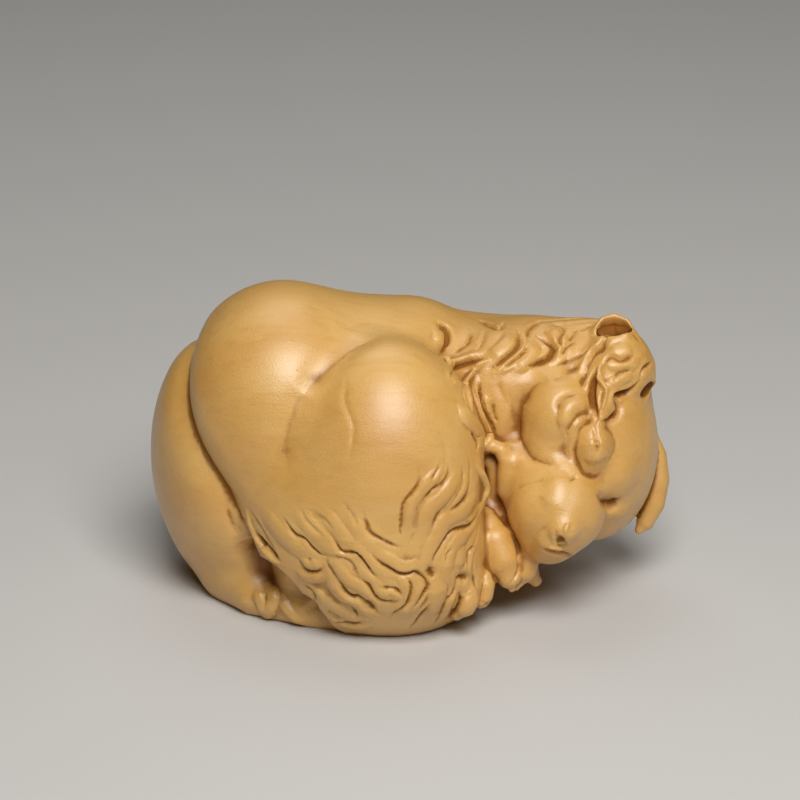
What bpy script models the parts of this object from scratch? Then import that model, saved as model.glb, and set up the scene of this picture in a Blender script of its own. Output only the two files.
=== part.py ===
"""A sleeping dog, carved in the round from one piece of boxwood.

The dog lies curled on its side. X runs from its rump to its head, Y away from
the side that its nose faces, and Z up from the table that it rests on.
"""

import math

import bmesh
import bpy
import numpy as np
from mathutils import Euler, Matrix, Vector
from mathutils.bvhtree import BVHTree

# Driving sizes, in metres
LENGTH = 0.068  # from rump to far ear
GRAIN = 0.00035  # how finely the block is worked before the surface is thinned out
TRIANGLES = 9900  # what the surface is thinned out to

# The figure keeps its proportions: one unit is a sixty-eighth of its length
UNIT = LENGTH / 68
FAR = 1000.0
MIDDLE = Vector((0.05, -0.85, 0))  # of the figure as it is set out below


def egg(centre, radii, turn=(0, 0, 0), melt=3):
    """An egg: centre, half-sizes, turn about X, Y, Z in degrees, and how widely it melts into the rest."""
    return "egg", centre, radii, turn, melt


def rod(points, radii, melt=0.8):
    """A rounded rod through these points, with a radius at each."""
    return "rod", points, radii, None, melt


def cut(half_width, depth, line):
    """A groove drawn on the carving, as points across and up the sheet that is laid over it."""
    return "cut", half_width, depth, line


def lock(half_width, depth, line):
    """The edge of a lock of hair: steep below the hair on its upper side, and gentle on the other."""
    return "lock", half_width, depth, line


def ridge(half_width, height, line):
    """A raised line."""
    return "ridge", half_width, height, line


def lobe(half_width, height, line):
    """A rounded lock of hair that stands up from the wood."""
    return "lobe", half_width, height, line


def strand(start, end, sway, steps=5):
    """A line that sways to one side and then to the other on its way."""
    (x, y), (u, v) = start, end
    long = math.hypot(u - x, v - y)
    line = []
    for i in range(steps + 1):
        t = i / steps
        off = sway * math.sin(2 * math.pi * t) / long
        line.append((x + (u - x) * t - (v - y) * off, y + (v - y) * t + (u - x) * off))
    return line


def tresses(count, start, end, step, sway):
    """Wavy locks side by side, each a raised lobe with a cut beside it."""
    strokes = []
    for i in range(count):
        x, y = start[0] + step[0] * i, start[1] + step[1] * i
        u, v = end[0] + (step[0] + 0.4) * i, end[1] + 1.5 * (i % 2)
        wave = sway * (1 + 0.3 * math.sin(2 * i))
        strokes.append(lobe(1.2, 0.35, strand((x, y), (u, v), wave)))
        strokes.append(lock(0.6, 0.45, strand((x + 1.2, y), (u + 1.3, v), wave)))
    return strokes


TRUNK = {
    "hip": egg((-16.4, 1.5, 27.1), (13.2, 15, 13.9)),
    "loin": egg((-13.6, -3.5, 19), (13.9, 11.4, 18.5), (0, -19, 0), melt=5),
    "back": egg((-4, 4, 26), (13, 13, 12), melt=5),
    "ribs": egg((2, 9, 20), (20, 12, 14), melt=5),
}
LOW_HIP = {"low hip": egg((-20.5, 3.2, 15.8), (13.5, 15.3, 19.8), (0, -6.2, 0))}
UNDERBODY = {
    "belly": egg((-3.5, -4, 3.6), (14.5, 14.4, 6.6)),
    "tail": rod(
        [(-23.5, -4, 2.4), (-20, -8.8, 2.4), (-17, -10.6, 2.2), (-13, -12.6, 2), (-8, -13.6, 2)],
        [3, 3, 2.6, 2.4, 2.4],
        melt=2,
    ),
}
SHOULDER = {"shoulder": egg((1, 6, 28.0), (7.0, 9, 8.8))}
MANE = {
    "withers": egg((10, 7, 24.2), (12, 10, 9.8)),
    "nape": egg((18, 4, 24), (11, 9, 11.3), melt=5),
    "crest": egg((24.4, 2, 28), (6.6, 6, 7.6), melt=4),
    "throat": egg((11.5, 0, 25), (7, 6, 9), melt=5),
}
HIND_LEG = {
    "thigh": egg((-3.2, -11.0, 17.5), (11.8, 10.5, 13.5)),
    "knee": egg((-3.2, -8.3, 26), (10.2, 9, 11.2), melt=9),
    "shank": egg((-1.4, -12.2, 8.5), (10.6, 8.8, 8.3), melt=6),
    "flank": egg((-10, -6.5, 17), (10, 10.3, 11), melt=6),
    "fringe": egg((-7.5, -9.5, 12.0), (13.5, 9.8, 8.6), (0, 24, 0), melt=6),
}
LOCKS = {
    "heel": rod([(9.0, -13.6, 8.2), (9.7, -14.2, 6), (9.2, -14.8, 4)], [0.7, 1.2, 0.9]),
    "heel side": rod([(7.8, -15.5, 8), (7.0, -16.5, 5), (5.9, -16.8, 3.4)], [1.2, 1.8, 1.0]),
    "middle": rod([(3.6, -17, 7), (2.7, -17.8, 4.5), (2.0, -17.6, 2.9)], [1.0, 1.4, 0.9]),
    "inner": rod([(-0.5, -17.5, 5), (-1.3, -17.6, 3.2), (-1.2, -17, 2.0)], [1.4, 1.5, 1.0]),
    "long": rod([(-9.6, -15, 4.6), (-7.4, -16.8, 3.6), (-4.6, -16.6, 2.2)], [1.0, 1.8, 1.2]),
}
HEAD = {
    "skull": egg((23.6, 0, 19.5), (8.8, 10.5, 12.8)),
    "cheek": egg((19.2, -4.6, 25.7), (5.4, 5.7, 5.9), melt=1),
    "far brow": egg((25.8, -8.0, 19.2), (2.8, 2.6, 2.9), melt=1.5),
}
MUZZLE = {
    "snout": rod([(18.2, -5, 17.6), (18.2, -10.0, 14.9), (18.7, -13.2, 13.0)], [8.0, 5.9, 3.4]),
    "chin": egg((17.0, -10.6, 10.6), (4.0, 4.0, 3.0), melt=2),
    "right side": egg((21.2, -11, 14.3), (4.2, 4.5, 5.2), melt=2),
    "bridge": rod([(19.7, -9.8, 19), (19.4, -14.4, 15.2)], [2.6, 2.0], melt=2),
    "nose": egg((19.5, -15.8, 14.5), (2.0, 1.8, 1.7), melt=0.6),
    "wing": egg((17.7, -15.0, 12.5), (1.3, 1.2, 0.9), melt=0.5),
}
EYE = {"lid": egg((23.2, -9.6, 23.0), (2.6, 1.9, 3.4))}
FAR_EAR = {
    "flap": rod(
        [
            (31.4, 3, 20.6), (32.4, 2.6, 17), (32.6, 1.6, 14), (32.0, 0.6, 11), (31.0, -0.4, 8.8),
            (30.2, -1, 7.9),
        ],
        [0.8, 1.4, 1.6, 1.6, 1.2, 0.6],
    )
}
NEAR_EAR = {
    "flap": egg((26.6, -0.6, 30.4), (4.9, 5.4, 5.6)),
    "tip": rod(
        [(25.4, -4.2, 31), (24.8, -6.6, 29), (24.1, -8.8, 27), (23.8, -9.7, 26)],
        [2.2, 1.6, 1.0, 0.6],
        melt=1.5,
    ),
    "rim": rod(
        [(24.2, -0.2, 35.3), (25, 1, 36.4), (26.4, 1.4, 36.7), (27.8, 0.8, 36.2), (28.6, -0.4, 34.9)],
        [0.8, 0.7, 0.7, 0.7, 0.8],
        melt=0.5,
    ),
    "rim below": rod(
        [(24.4, -1.8, 34.6), (26, -2.4, 34.9), (27.6, -2, 35.5), (28.4, -0.8, 35.5)],
        [0.6, 0.6, 0.6, 0.6],
        melt=0.5,
    ),
    "front": rod(
        [(25.6, -1.3, 35), (24.6, -2, 33.9), (23.5, -3.2, 32.8), (22.9, -4.6, 31.4), (22.7, -5.9, 30.1)],
        [0.9, 1, 1, 1, 0.8],
    ),
    "side": rod(
        [(29.3, -1.5, 33.2), (30.5, -1.2, 31.4), (30.8, -1.7, 29), (30.4, -2.4, 27.8)],
        [0.9, 1.0, 0.9, 0.6],
    ),
}
FOLDS = {
    "lip fold": rod(
        [(9.0, -6.4, 21.6), (10.3, -7.8, 22.7), (11.8, -8.8, 22.0), (12.6, -8.9, 19.8), (12.3, -8.4, 17)],
        [0.6, 1.0, 1.1, 0.9, 0.5],
    ),
    "inner fold": rod(
        [(9.8, -5.0, 20), (10.8, -5.0, 17.4), (10.9, -5.0, 14.3), (11.4, -5.4, 11.6)],
        [0.5, 0.7, 0.7, 0.5],
    ),
}
PAW = {
    "forearm": rod([(9.6, -5.6, 13.6), (10.9, -7.4, 10.8), (12.4, -8.0, 8.4)], [1.2, 2.0, 1.8]),
    "first toe": rod(
        [(9.6, -9.4, 13.6), (11, -11, 10.9), (11.9, -12.2, 8.6), (12.6, -12.9, 6.7), (12.9, -13.2, 5.4)],
        [1.2, 2.1, 2.1, 1.4, 0.4],
        melt=0.3,
    ),
    "second toe": rod(
        [(13.2, -9.6, 11.2), (14.6, -10.4, 8.8), (14.4, -11.2, 6.8), (13.4, -12.2, 5)],
        [1.4, 1.5, 1.3, 0.4],
        melt=0.4,
    ),
    "third toe": rod([(14.9, -8.4, 6.8), (15.6, -9, 5.2), (16.5, -9.1, 4.1)], [1.4, 1.3, 0.8], melt=0.4),
}
HOLLOWS = {
    "ear": egg((26.3, -0.6, 36.1), (2.2, 1.6, 3.4)),
    "ear fold": egg((30.8, -3.2, 28.5), (1.5, 1.8, 1.1)),
    "nostril": rod([(18.8, -17.5, 13.7), (19.3, -16.4, 12.9)], [0.75, 0.55]),
}

# Each group with how widely it melts into the groups before it. It adds wood, adds it behind a cut crease, or
# takes wood away
GROUPS = [
    (TRUNK, 1, "add"),
    (LOW_HIP, 2.2, "crease"),
    (UNDERBODY, 3, "add"),
    (SHOULDER, 2, "add"),
    (MANE, 3, "add"),
    (HIND_LEG, 2.5, "add"),
    (LOCKS, 0.6, "add"),
    (HEAD, 2, "add"),
    (MUZZLE, 1.5, "add"),
    (EYE, 0.8, "add"),
    (FAR_EAR, 0.4, "add"),
    (NEAR_EAR, 0.8, "add"),
    (FOLDS, 0.6, "add"),
    (PAW, 0.4, "add"),
    (HOLLOWS, 0.3, "cut"),
]

# Lines drawn on the front: half-width, depth, and points across and up the sheet, all in units
CREASES = [
    cut(
        2.2,
        0.3,
        [(-12.4, 26.2), (-13.9, 24.3), (-14.9, 22.1), (-15.5, 19.6), (-15.7, 17.1), (-15.4, 14.6)],
    ),
    lock(
        1.6,
        2.7,
        [
            (-21, 8.4), (-20, 6.1), (-18.8, 4), (-16.6, 2.6), (-14.9, 1.1), (-13.7, -0.6),
            (-12.4, -1.5), (-11.7, -3.2), (-10.6, -4.8), (-9, -5.8),
        ],
    ),
    lock(0.5, 0.3, [(-23.6, 10.6), (-22.7, 8.4), (-21.9, 6)]),
    lock(0.5, 0.35, [(-22.3, 8.6), (-21.5, 6.3), (-20.7, 3.6)]),
    lobe(0.8, 0.4, [(-19.8, -0.3), (-19.2, -2.2), (-18.6, -4.2)]),
    lobe(0.9, 0.5, [(-18.4, -0), (-17.5, -1.5), (-18.9, -4.7)]),
    lobe(0.8, 0.4, [(-16.8, -1), (-16.1, -2.5), (-14.9, -3.9), (-13.4, -4.8)]),
    cut(2.4, 0.6, [(-3.2, 32.6), (-5.7, 31.6), (-8.3, 30.1), (-12.4, 26.2), (-13.9, 24.3)]),
    cut(0.5, 0.16, [(-8.1, 27.5), (-8.1, 25.5), (-8.3, 24), (-7.2, 21), (-7.2, 19.3), (-7.7, 16)]),
    cut(0.6, 0.12, [(4, 19.5), (4.5, 17.5), (4.5, 15.5)]),
    cut(1, 0.8, [(3.6, 34.1), (4.5, 33.1), (4.9, 31.8), (4.5, 30.7), (3.7, 29.8)]),
    cut(
        1.2,
        0.9,
        [
            (17.6, 26.7), (16.1, 26.1), (15.1, 25.2), (14.3, 24.1), (13.8, 23), (13.6, 20),
            (14, 18.8), (14.7, 17.6), (15.6, 16.7), (17.9, 15.9), (18.7, 15),
        ],
    ),
    cut(1.2, 0.35, [(17.6, 26.7), (19.4, 27.2), (20.9, 28), (21.8, 28.8)]),
]
FUR = [
    lobe(1, 0.46, [(3.7, 15.3), (2.6, 13.8), (1.1, 12.5), (-0.1, 11.2), (-0.5, 9.3), (-0.8, 6.7)]),
    lobe(1.1, 0.52, [(6.4, 15.7), (5.6, 14), (2.9, 11.5), (1.8, 10.1), (1.1, 8.4), (0.5, 5.8)]),
    lobe(1, 0.46, [(7.8, 14.7), (7, 12.8), (5.9, 11.4), (3.3, 9.2), (2.2, 7.5), (1.6, 5.5), (1.7, 3.1)]),
    lobe(1.2, 0.57, [(8.7, 11.6), (7.8, 9.9), (4.5, 7.6), (3.5, 5.8), (3.2, 3.9), (4.3, 0.3)]),
    lobe(1.3, 0.69, [(8.3, 8.3), (6.9, 7), (5.9, 5.6), (5.5, 4.1), (6.2, 2.4)]),
    lobe(1.5, 0.92, [(3.9, 1.5), (4.3, -0.2), (3.8, -1.9), (1.9, -4)]),
    lobe(1.4, 0.92, [(5.3, 1), (5.7, -0.9), (5.3, -2.4), (3.8, -4.5)]),
    lobe(1.6, 1.03, [(6.7, 1.4), (7.5, -0.4), (7.6, -1.9), (7, -3.1), (6, -4.2)]),
    lobe(1.3, 0.8, [(8.5, 3.7), (9.4, 1.7), (9.9, -0), (10, -1.6), (9.2, -2.9)]),
    lobe(1.3, 0.69, [(1.7, 2.4), (1.2, 0.4), (-1.8, -4.2)]),
    lobe(1.6, 0.25, [(-18.8, 10.1), (-15.9, 6.3), (-13.2, 3.1)]),
    lobe(1.6, 0.25, [(-15.1, 10.4), (-11.1, 7), (-9.1, 5.4)]),
    lobe(1.2, 0.52, [(-14.4, 4.8), (-13.1, 3.5), (-10.1, 2.4)]),
    lobe(1.2, 0.52, [(-8.8, 7.2), (-7.6, 5.9), (-5.9, 5.4), (-4.6, 4), (-3.6, 2.4)]),
    lobe(1.1, 0.57, [(-10.1, 4.4), (-8.6, 3.2), (-7.3, 1.8), (-5.8, 1.1), (-4.6, 0.1)]),
    lobe(1, 0.57, [(-5.3, 2.2), (-2.8, -0.1), (-1.3, -0.4), (-0.5, 0.6)]),
    lobe(1.2, 0.63, [(-10.1, 2.4), (-9.1, 0.5), (-7.9, -0.9), (-6.4, -1.8), (-5.1, -3.1)]),
    lobe(1.2, 0.69, [(-13.2, 2.3), (-11.9, 0.7), (-10.2, -2.4), (-8.7, -3.5)]),
    lobe(1.2, 0.69, [(-8.3, -1.3), (-6.9, -2.2), (-6.1, -3.5), (-4.9, -4.5)]),
    lobe(1.2, 0.52, [(-0.8, 0.9), (-0.8, -0.9), (-2.8, -4.2)]),
    lobe(0.9, 0.57, [(-11.2, -1.4), (-10.3, -2.8), (-8.9, -3.9), (-6.9, -4.5), (-5.1, -4.8)]),
    lobe(0.7, 0.57, [(-20.5, 7.1), (-19.6, 5.3), (-18.4, 4), (-16.4, 3.2)]),
    lock(0.69, 0.56, [(-20.9, 10.5), (-18.2, 5.8), (-17.3, 4.6), (-16.3, 3.6)]),
    lock(0.63, 0.51, [(-15.9, 8.9), (-12.8, 5.7), (-10.2, 4.3)]),
    lock(0.57, 0.46, [(-9.7, 6.7), (-9.1, 5.7), (-8.1, 5.2), (-6.8, 4.9), (-6.2, 4.4), (-4.1, 1.4)]),
    lock(0.57, 0.46, [(-5.5, 8.6), (-5.1, 7.5), (-4.2, 6.7), (-1.2, 5.6)]),
    lock(0.63, 0.56, [(-4.6, 4.5), (-1, 2.4), (1.2, 2.2), (2, 1.6), (2.2, 0.4), (1.7, -0.7), (1, -1.8)]),
    lock(0.75, 0.72, [(-8.9, 1.9), (-8.4, 0.4), (-7.6, -0.4), (-6.5, -0.9), (-3.8, -3.5)]),
    lock(0.63, 0.56, [(-6.6, 1.1), (-5.5, 0.7), (-4.1, -1), (-1.6, -1.3)]),
    lock(0.52, 0.41, [(-3.8, 0.6), (-2.6, 0.7), (-1.6, 0.2), (-0.8, -0.5)]),
    lock(0.63, 0.56, [(-0.3, 1.2), (-0.2, -0.3), (-0.4, -1.5), (-1.9, -3), (-2.4, -3.9)]),
    lock(0.57, 0.51, [(-8.8, -1.6), (-7.5, -1.8), (-6.9, -2.4), (-6.2, -3.6)]),
    lock(0.57, 0.36, [(-13.9, 3.4), (-12.9, 2.8), (-11.4, 2.9)]),
    lock(0.69, 0.2, [(-14.1, 10.9), (-11.6, 9.7), (-9.8, 8.5), (-8.7, 7.4)]),
    lock(0.69, 0.2, [(-8.4, 11.3), (-7, 9.9), (-6.1, 8.5)]),
    lock(0.8, 0.26, [(-18.8, 10.3), (-17.5, 7.6), (-16.1, 5.6)]),
    lock(0.63, 0.51, [(1.1, 14.3), (0.3, 12.3), (-0.7, 11.3), (-1, 10), (-1.4, 5.7)]),
    lock(0.57, 0.41, [(4.6, 15.8), (4, 14), (2, 12.3), (1.2, 11.1)]),
    lock(0.63, 0.46, [(7.8, 14.9), (7.2, 12.4), (6, 10.8), (4.7, 9.9), (3.5, 9.7), (3, 9), (2.6, 7.8)]),
    lock(0.69, 0.61, [(8.8, 9.5), (7.3, 8.3), (5.6, 7.7), (4.7, 7.1), (3.2, 4.9), (2.7, 2.4)]),
    lock(0.69, 0.56, [(8, 6.5), (7.3, 5.1), (7.2, 3.7), (6.6, 1.7), (5, -0.5), (3.5, -3.7)]),
    lock(0.63, 0.51, [(8.1, 1.6), (8.7, -1.8), (8.3, -3.3)]),
    lock(0.52, 0.26, [(0.8, 8.3), (0.2, 7), (0.1, 5.7)]),
    lock(0.63, 0.56, [(2.2, -1.5), (0.6, -3.9), (-0, -5.1)]),
    lock(0.57, 0.31, [(6.5, 15.5), (6.4, 13.6), (5.9, 12.3), (4.7, 11.3)]),
    lock(0.57, 0.41, [(4.9, 4.9), (3.9, 1.5), (3.9, -0.2)]),
    lock(0.57, 0.36, [(-11.1, 1.8), (-9.8, 0.8), (-9.1, -0.5), (-8, -1.3)]),
    lock(0.57, 0.41, [(-13.3, 1.5), (-12.1, 0.2), (-10.9, -0.3), (-10.6, -1.6)]),
    lock(0.57, 0.36, [(-15.2, 4.3), (-14, 2.5), (-11.2, 0.8)]),
    lock(0.57, 0.31, [(-3.2, -1.2), (-3.8, -2.3), (-4.8, -2.1)]),
    lock(0.57, 0.36, [(-10.3, 4.4), (-9.6, 3.1), (-8.2, 2.4), (-7.3, 1.4)]),
]
MANE_HAIR = [
    lobe(1.1, 0.45, [(11.9, 33.1), (12.6, 32), (12.2, 30.7), (10.9, 29.5), (9.5, 28.6)]),
    lobe(
        1.2,
        0.5,
        [
            (15.4, 31.1), (14.9, 29.8), (12.1, 27.9), (11.1, 26.3), (11.1, 24.3), (11.9, 22.5),
            (12.9, 20.8),
        ],
    ),
    lobe(1, 0.4, [(13.4, 27.2), (12.5, 25.5), (12.5, 23.8), (13.2, 22)]),
    lobe(1.2, 0.5, [(19.3, 31.1), (18.3, 29.4), (15, 27.3), (13.7, 25.8)]),
    lobe(1, 0.4, [(8.7, 27.6), (10, 24), (11.5, 20.4)]),
    lobe(1, 0.5, [(7.9, 25.9), (8.2, 24), (9.7, 20.4), (9.5, 18.6)]),
    lobe(1.1, 0.45, [(17.4, 33.1), (18.7, 32.3), (19.6, 31), (19.3, 29.7)]),
    lobe(1, 0.35, [(23.2, 32.8), (22.1, 31.7), (21.8, 30.4), (20.5, 29.2), (18.6, 28.4)]),
    lock(0.73, 0.99, [(7.9, 28.6), (6.7, 28.8), (5.8, 28.1), (5.2, 27.1), (5.4, 26.2), (6.3, 25.5)]),
    lock(0.47, 0.44, [(7.9, 27.9), (7.3, 26.8), (7.1, 25.5), (7.2, 24.3), (8.1, 21.7)]),
    lock(0.63, 0.77, [(8.8, 26.8), (9.1, 23.6), (10.4, 21.2), (10.7, 20), (10.3, 18.6)]),
    ridge(0.6, 0.5, [(8.4, 24.3), (10, 20.3), (9.9, 19.1)]),
    lock(0.53, 0.55, [(7.5, 20.4), (8.3, 19.7), (8.7, 18.7), (8.4, 17.6)]),
    lock(0.53, 0.55, [(10.1, 18.8), (9.6, 17.7), (8.8, 16.9)]),
    lock(0.63, 0.33, [(7.8, 33.1), (7.7, 31.4), (7.3, 29.9)]),
    lock(0.63, 0.33, [(7, 31.4), (6, 30.6), (5, 29.9)]),
    lock(0.63, 0.66, [(8.9, 34.5), (10.2, 34.3), (10.8, 33.5), (11.6, 33.8), (12, 34.6)]),
    lock(0.73, 0.88, [(14, 33.3), (14, 32), (13.8, 31), (13, 30.1), (10.1, 28)]),
    lock(0.63, 0.44, [(15.2, 32), (15, 30.7), (14.5, 29.9), (13.4, 29.1)]),
    lock(
        0.73,
        1.04,
        [
            (16.3, 32.5), (16.9, 31.6), (17.9, 31.1), (18.3, 30.5), (17.9, 29.7), (17.1, 29),
            (16, 28.4), (14.7, 28),
        ],
    ),
    lock(0.73, 0.55, [(17.9, 34.1), (16.3, 33.7), (15.4, 32.8), (15.1, 31.5)]),
    ridge(0.5, 0.4, [(3.9, 29.5), (5.4, 29), (8.1, 29.5), (9.5, 30.3)]),
    ridge(0.5, 0.4, [(7.2, 27.5), (8.4, 28.4), (9.7, 28.6), (11, 29.5)]),
    lock(0.53, 0.44, [(19.6, 32), (20.7, 31.1), (20.2, 29.7), (18.7, 28.9)]),
    lock(0.53, 0.44, [(23.3, 33.6), (21.9, 32.9), (21, 32.1), (21.2, 31), (22.3, 30.4)]),
    lock(0.63, 0.39, [(24.4, 30.9), (22.8, 29.7), (17.5, 27.6)]),
    lock(0.53, 0.33, [(12.4, 34.2), (12.9, 33.1), (12.6, 31.7), (11.4, 30.9)]),
    lock(0.53, 0.33, [(18.9, 34), (19.7, 33.1), (18.9, 32)]),
    lock(0.53, 0.33, [(9.8, 33.1), (9.5, 31.8), (8.5, 30.7)]),
]
FACE = [
    lobe(1.3, 0.6, [(23.2, 24.1), (21.3, 23.8), (19.9, 22.7), (19, 21.1), (18.9, 18.9)]),
    cut(1.6, 0.25, [(17.1, 9.8), (18.5, 9.2), (19.7, 9.3)]),
    cut(
        0.5,
        0.3,
        [(21.4, 19.9), (20.9, 18.7), (21, 17.1), (21.6, 15.6), (22.7, 14.6), (23.9, 14.4), (24.7, 15.3)],
    ),
    lobe(
        0.8,
        0.35,
        [(22.9, 21.7), (21.6, 21.5), (20.7, 20.5), (20.2, 19.2), (20.1, 17.6), (20.5, 16.2), (21.2, 15)],
    ),
    cut(0.5, 0.12, [(21.6, 22.2), (20.2, 21.3), (19.3, 19.9), (19.2, 18.2)]),
    cut(0.35, 0.2, [(22.9, 21.2), (23.7, 18.9), (23.8, 16.6)]),
    cut(0.5, 0.15, [(24.3, 21.1), (25.4, 20.2), (25.9, 18.9), (26, 17.4), (25.5, 16.1), (24.7, 15.3)]),
    cut(0.4, 0.25, [(19.9, 13.6), (20.7, 14.1), (21.4, 14)]),
    cut(1.1, 1, [(24.3, 12.9), (24.8, 11.7), (25.6, 10.9), (26.5, 11.2), (27.4, 11.7)]),
    lobe(1.6, 0.2, [(24.8, 9.6), (26.8, 9.3), (28.7, 10)]),
    cut(0.45, 0.7, [(16.4, 5.2), (17.6, 4.1), (18.8, 3.9), (20.4, 4.5)]),
    cut(0.35, 0.45, [(12.9, 7.9), (13.8, 6), (14.2, 4), (13.9, 2.2), (12.9, 0.4)]),
    cut(0.4, 0.4, [(8.9, 5.2), (9.9, 3.2), (12, 0.7)]),
    lobe(2, 0.25, [(17.6, 15.6), (18.1, 13.6), (18, 11.6), (17.5, 9.8)]),
]
EAR = [
    lock(0.7, 1.2, [(24.9, 31.6), (23.3, 30), (22.2, 28.1), (21.9, 27), (22.1, 24.9)]),
    cut(0.55, 1.2, [(23.9, 28), (23.3, 25.3), (23.2, 24), (23.6, 22.5), (23.6, 21)]),
    ridge(0.5, 0.5, [(24.1, 27.3), (24.6, 25.8), (24.7, 24.4), (23.8, 21.7)]),
    cut(0.5, 0.4, [(24.6, 28), (25, 28.9), (25.8, 29.3), (27.9, 29.1), (28.8, 29.5), (29.6, 30.3)]),
    cut(0.5, 0.4, [(30.9, 29), (30.1, 28.4), (29.7, 27.5), (29.6, 26.4)]),
    lock(
        0.6,
        1,
        [
            (23.8, 20.6), (25.5, 21.8), (26.2, 22.7), (26.2, 23.8), (26.5, 24.5), (27.1, 25),
            (29, 25.7), (29.6, 26.3),
        ],
    ),
    cut(0.5, 0.25, [(25.6, 26.7), (26.7, 27.3), (27.8, 27.7)]),
    cut(0.5, 0.25, [(25.2, 30.5), (26.3, 30.7), (27.5, 31.2)]),
    ridge(0.5, 0.4, [(25.1, 32.2), (26.8, 33.2), (27.5, 33.8)]),
]
# Lines drawn on the hidden side and on the head's end, which are plainer
BACK = tresses(7, (-27.5, 28), (-24, 13), (2.7, -0.5), 1.3)
BACK += tresses(6, (-28, 17), (-24, 6.5), (3.1, 0), 0.9)
BACK += tresses(7, (10, 5), (7.5, -3.5), (2.8, 0.2), 0.7)
HEAD_END = tresses(4, (2.5, 30), (4.5, 16), (2.3, -1.1), 1.0)


def add_egg(bm, centre, radii, turn=(0, 0, 0), fineness=3):
    place = Matrix.Translation(Vector(centre) * UNIT)
    size = Matrix.Diagonal([r * UNIT for r in radii] + [1])
    bmesh.ops.create_icosphere(
        bm,
        subdivisions=fineness,
        radius=1,
        matrix=place @ turned(turn).to_4x4() @ size,
    )


def turned(turn):
    return Euler([math.radians(a) for a in turn]).to_matrix()


def add_shape(bm, shape):
    kind, place, radii, turn, _ = shape
    if kind == "egg":
        add_egg(bm, place, radii, turn)
        return
    for i in range(len(place) - 1):
        steps = 6
        for j in range(steps + 1):
            t = j / steps
            middle = Vector(place[i]).lerp(Vector(place[i + 1]), t)
            radius = radii[i] * (1 - t) + radii[i + 1] * t
            add_egg(bm, middle, (radius,) * 3, fineness=2)


def depth_of_egg(centre, radii, turn, points):
    local = (points - np.array(centre)) @ np.array(turned(turn))
    radii = np.array(radii, float)
    near = np.linalg.norm(local / radii, axis=1)
    steep = np.linalg.norm(local / radii**2, axis=1)
    return near * (near - 1) / np.maximum(steep, 1e-9)


def depth_of_rod(line, radii, points):
    depth = np.full(len(points), FAR)
    for i in range(len(line) - 1):
        a, b = np.array(line[i], float), np.array(line[i + 1], float)
        t = np.clip((points - a) @ (b - a) / ((b - a) @ (b - a)), 0, 1)
        away = np.linalg.norm(points - a - t[:, None] * (b - a), axis=1)
        depth = np.minimum(depth, away - radii[i] - t * (radii[i + 1] - radii[i]))
    return depth


def depth_of(shape, points):
    """How far outside the shape each point is, in units. Points well clear of it are only marked as far."""
    kind, place, radii, turn, _ = shape
    corners = np.atleast_2d(np.array(place, float))
    reach = max(radii) + 8
    near = ((points > corners.min(0) - reach) & (points < corners.max(0) + reach)).all(axis=1)
    depth = np.full(len(points), FAR)
    if kind == "egg":
        depth[near] = depth_of_egg(place, radii, turn, points[near])
    else:
        depth[near] = depth_of_rod(place, radii, points[near])
    return depth


def melted(a, b, width):
    """The lower of two depths, rounded where they meet."""
    share = np.clip(0.5 + 0.5 * (b - a) / width, 0, 1)
    return b + (a - b) * share - width * share * (1 - share)


def creased(a, b, width):
    """The lower of two depths, with a crease cut where they meet."""
    near = np.clip(1 - np.abs(b - a) / width, 0, 1)
    return np.minimum(a, b) + 0.5 * width * near**2


def depth_in_wood(points):
    """How far outside the carving each point is, in units."""
    wood = np.full(len(points), FAR)
    for group, width, way in GROUPS:
        depth = np.full(len(points), FAR)
        for shape in group.values():
            depth = melted(depth, depth_of(shape, points), shape[4])
        if way == "add":
            wood = melted(wood, depth, width)
        elif way == "crease":
            wood = creased(wood, depth, width)
        else:
            wood = -melted(-wood, depth, width)
    return wood


def press(obj, rounds):
    """Moves the skin until it lies on the melted shapes."""
    step = 0.02
    points = points_of(obj.data) / UNIT
    for _ in range(rounds):
        here = depth_in_wood(points)
        slope = np.stack(
            [(depth_in_wood(points + d) - here) / step for d in np.eye(3) * step],
            axis=1,
        )
        square = np.maximum((slope**2).sum(axis=1), 0.2)
        move = slope * (here / square)[:, None]
        length = np.linalg.norm(move, axis=1, keepdims=True)
        points = points - move * np.minimum(1, 1.5 / np.maximum(length, 1e-9))
    move_to(obj.data, points * UNIT)


def object_of(bm, name):
    mesh = bpy.data.meshes.new(name)
    bm.to_mesh(mesh)
    bm.free()
    obj = bpy.data.objects.new(name, mesh)
    bpy.context.scene.collection.objects.link(obj)
    return obj


def settle(obj):
    """The object's modifiers, made part of its mesh."""
    graph = bpy.context.evaluated_depsgraph_get()
    mesh = bpy.data.meshes.new_from_object(obj.evaluated_get(graph))
    old = obj.data
    obj.modifiers.clear()
    obj.data = mesh
    bpy.data.meshes.remove(old)


def merge(obj, grain):
    """One skin round everything in the object, even again all over."""
    remesh = obj.modifiers.new("one skin", "REMESH")
    remesh.mode = "VOXEL"
    remesh.voxel_size = grain
    remesh.use_smooth_shade = True
    settle(obj)


def points_of(mesh):
    co = np.empty(len(mesh.vertices) * 3, np.float32)
    mesh.vertices.foreach_get("co", co)
    return co.reshape(-1, 3).astype(np.float64)


def normals_of(mesh):
    out = np.empty(len(mesh.vertices) * 3, np.float32)
    mesh.vertex_normals.foreach_get("vector", out)
    return out.reshape(-1, 3).astype(np.float64)


def move_to(mesh, points):
    mesh.vertices.foreach_set("co", points.astype(np.float32).ravel())
    mesh.update()


def paper(azimuth, elevation):
    """A sheet laid over the carving as seen from this side: its directions across, up and towards the eye."""
    a, e = math.radians(azimuth), math.radians(elevation)
    across = Vector((math.cos(a), math.sin(a), 0))
    towards = Vector((math.sin(a) * math.cos(e), -math.cos(a) * math.cos(e), math.sin(e)))
    return across, towards.cross(across), towards


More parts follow.
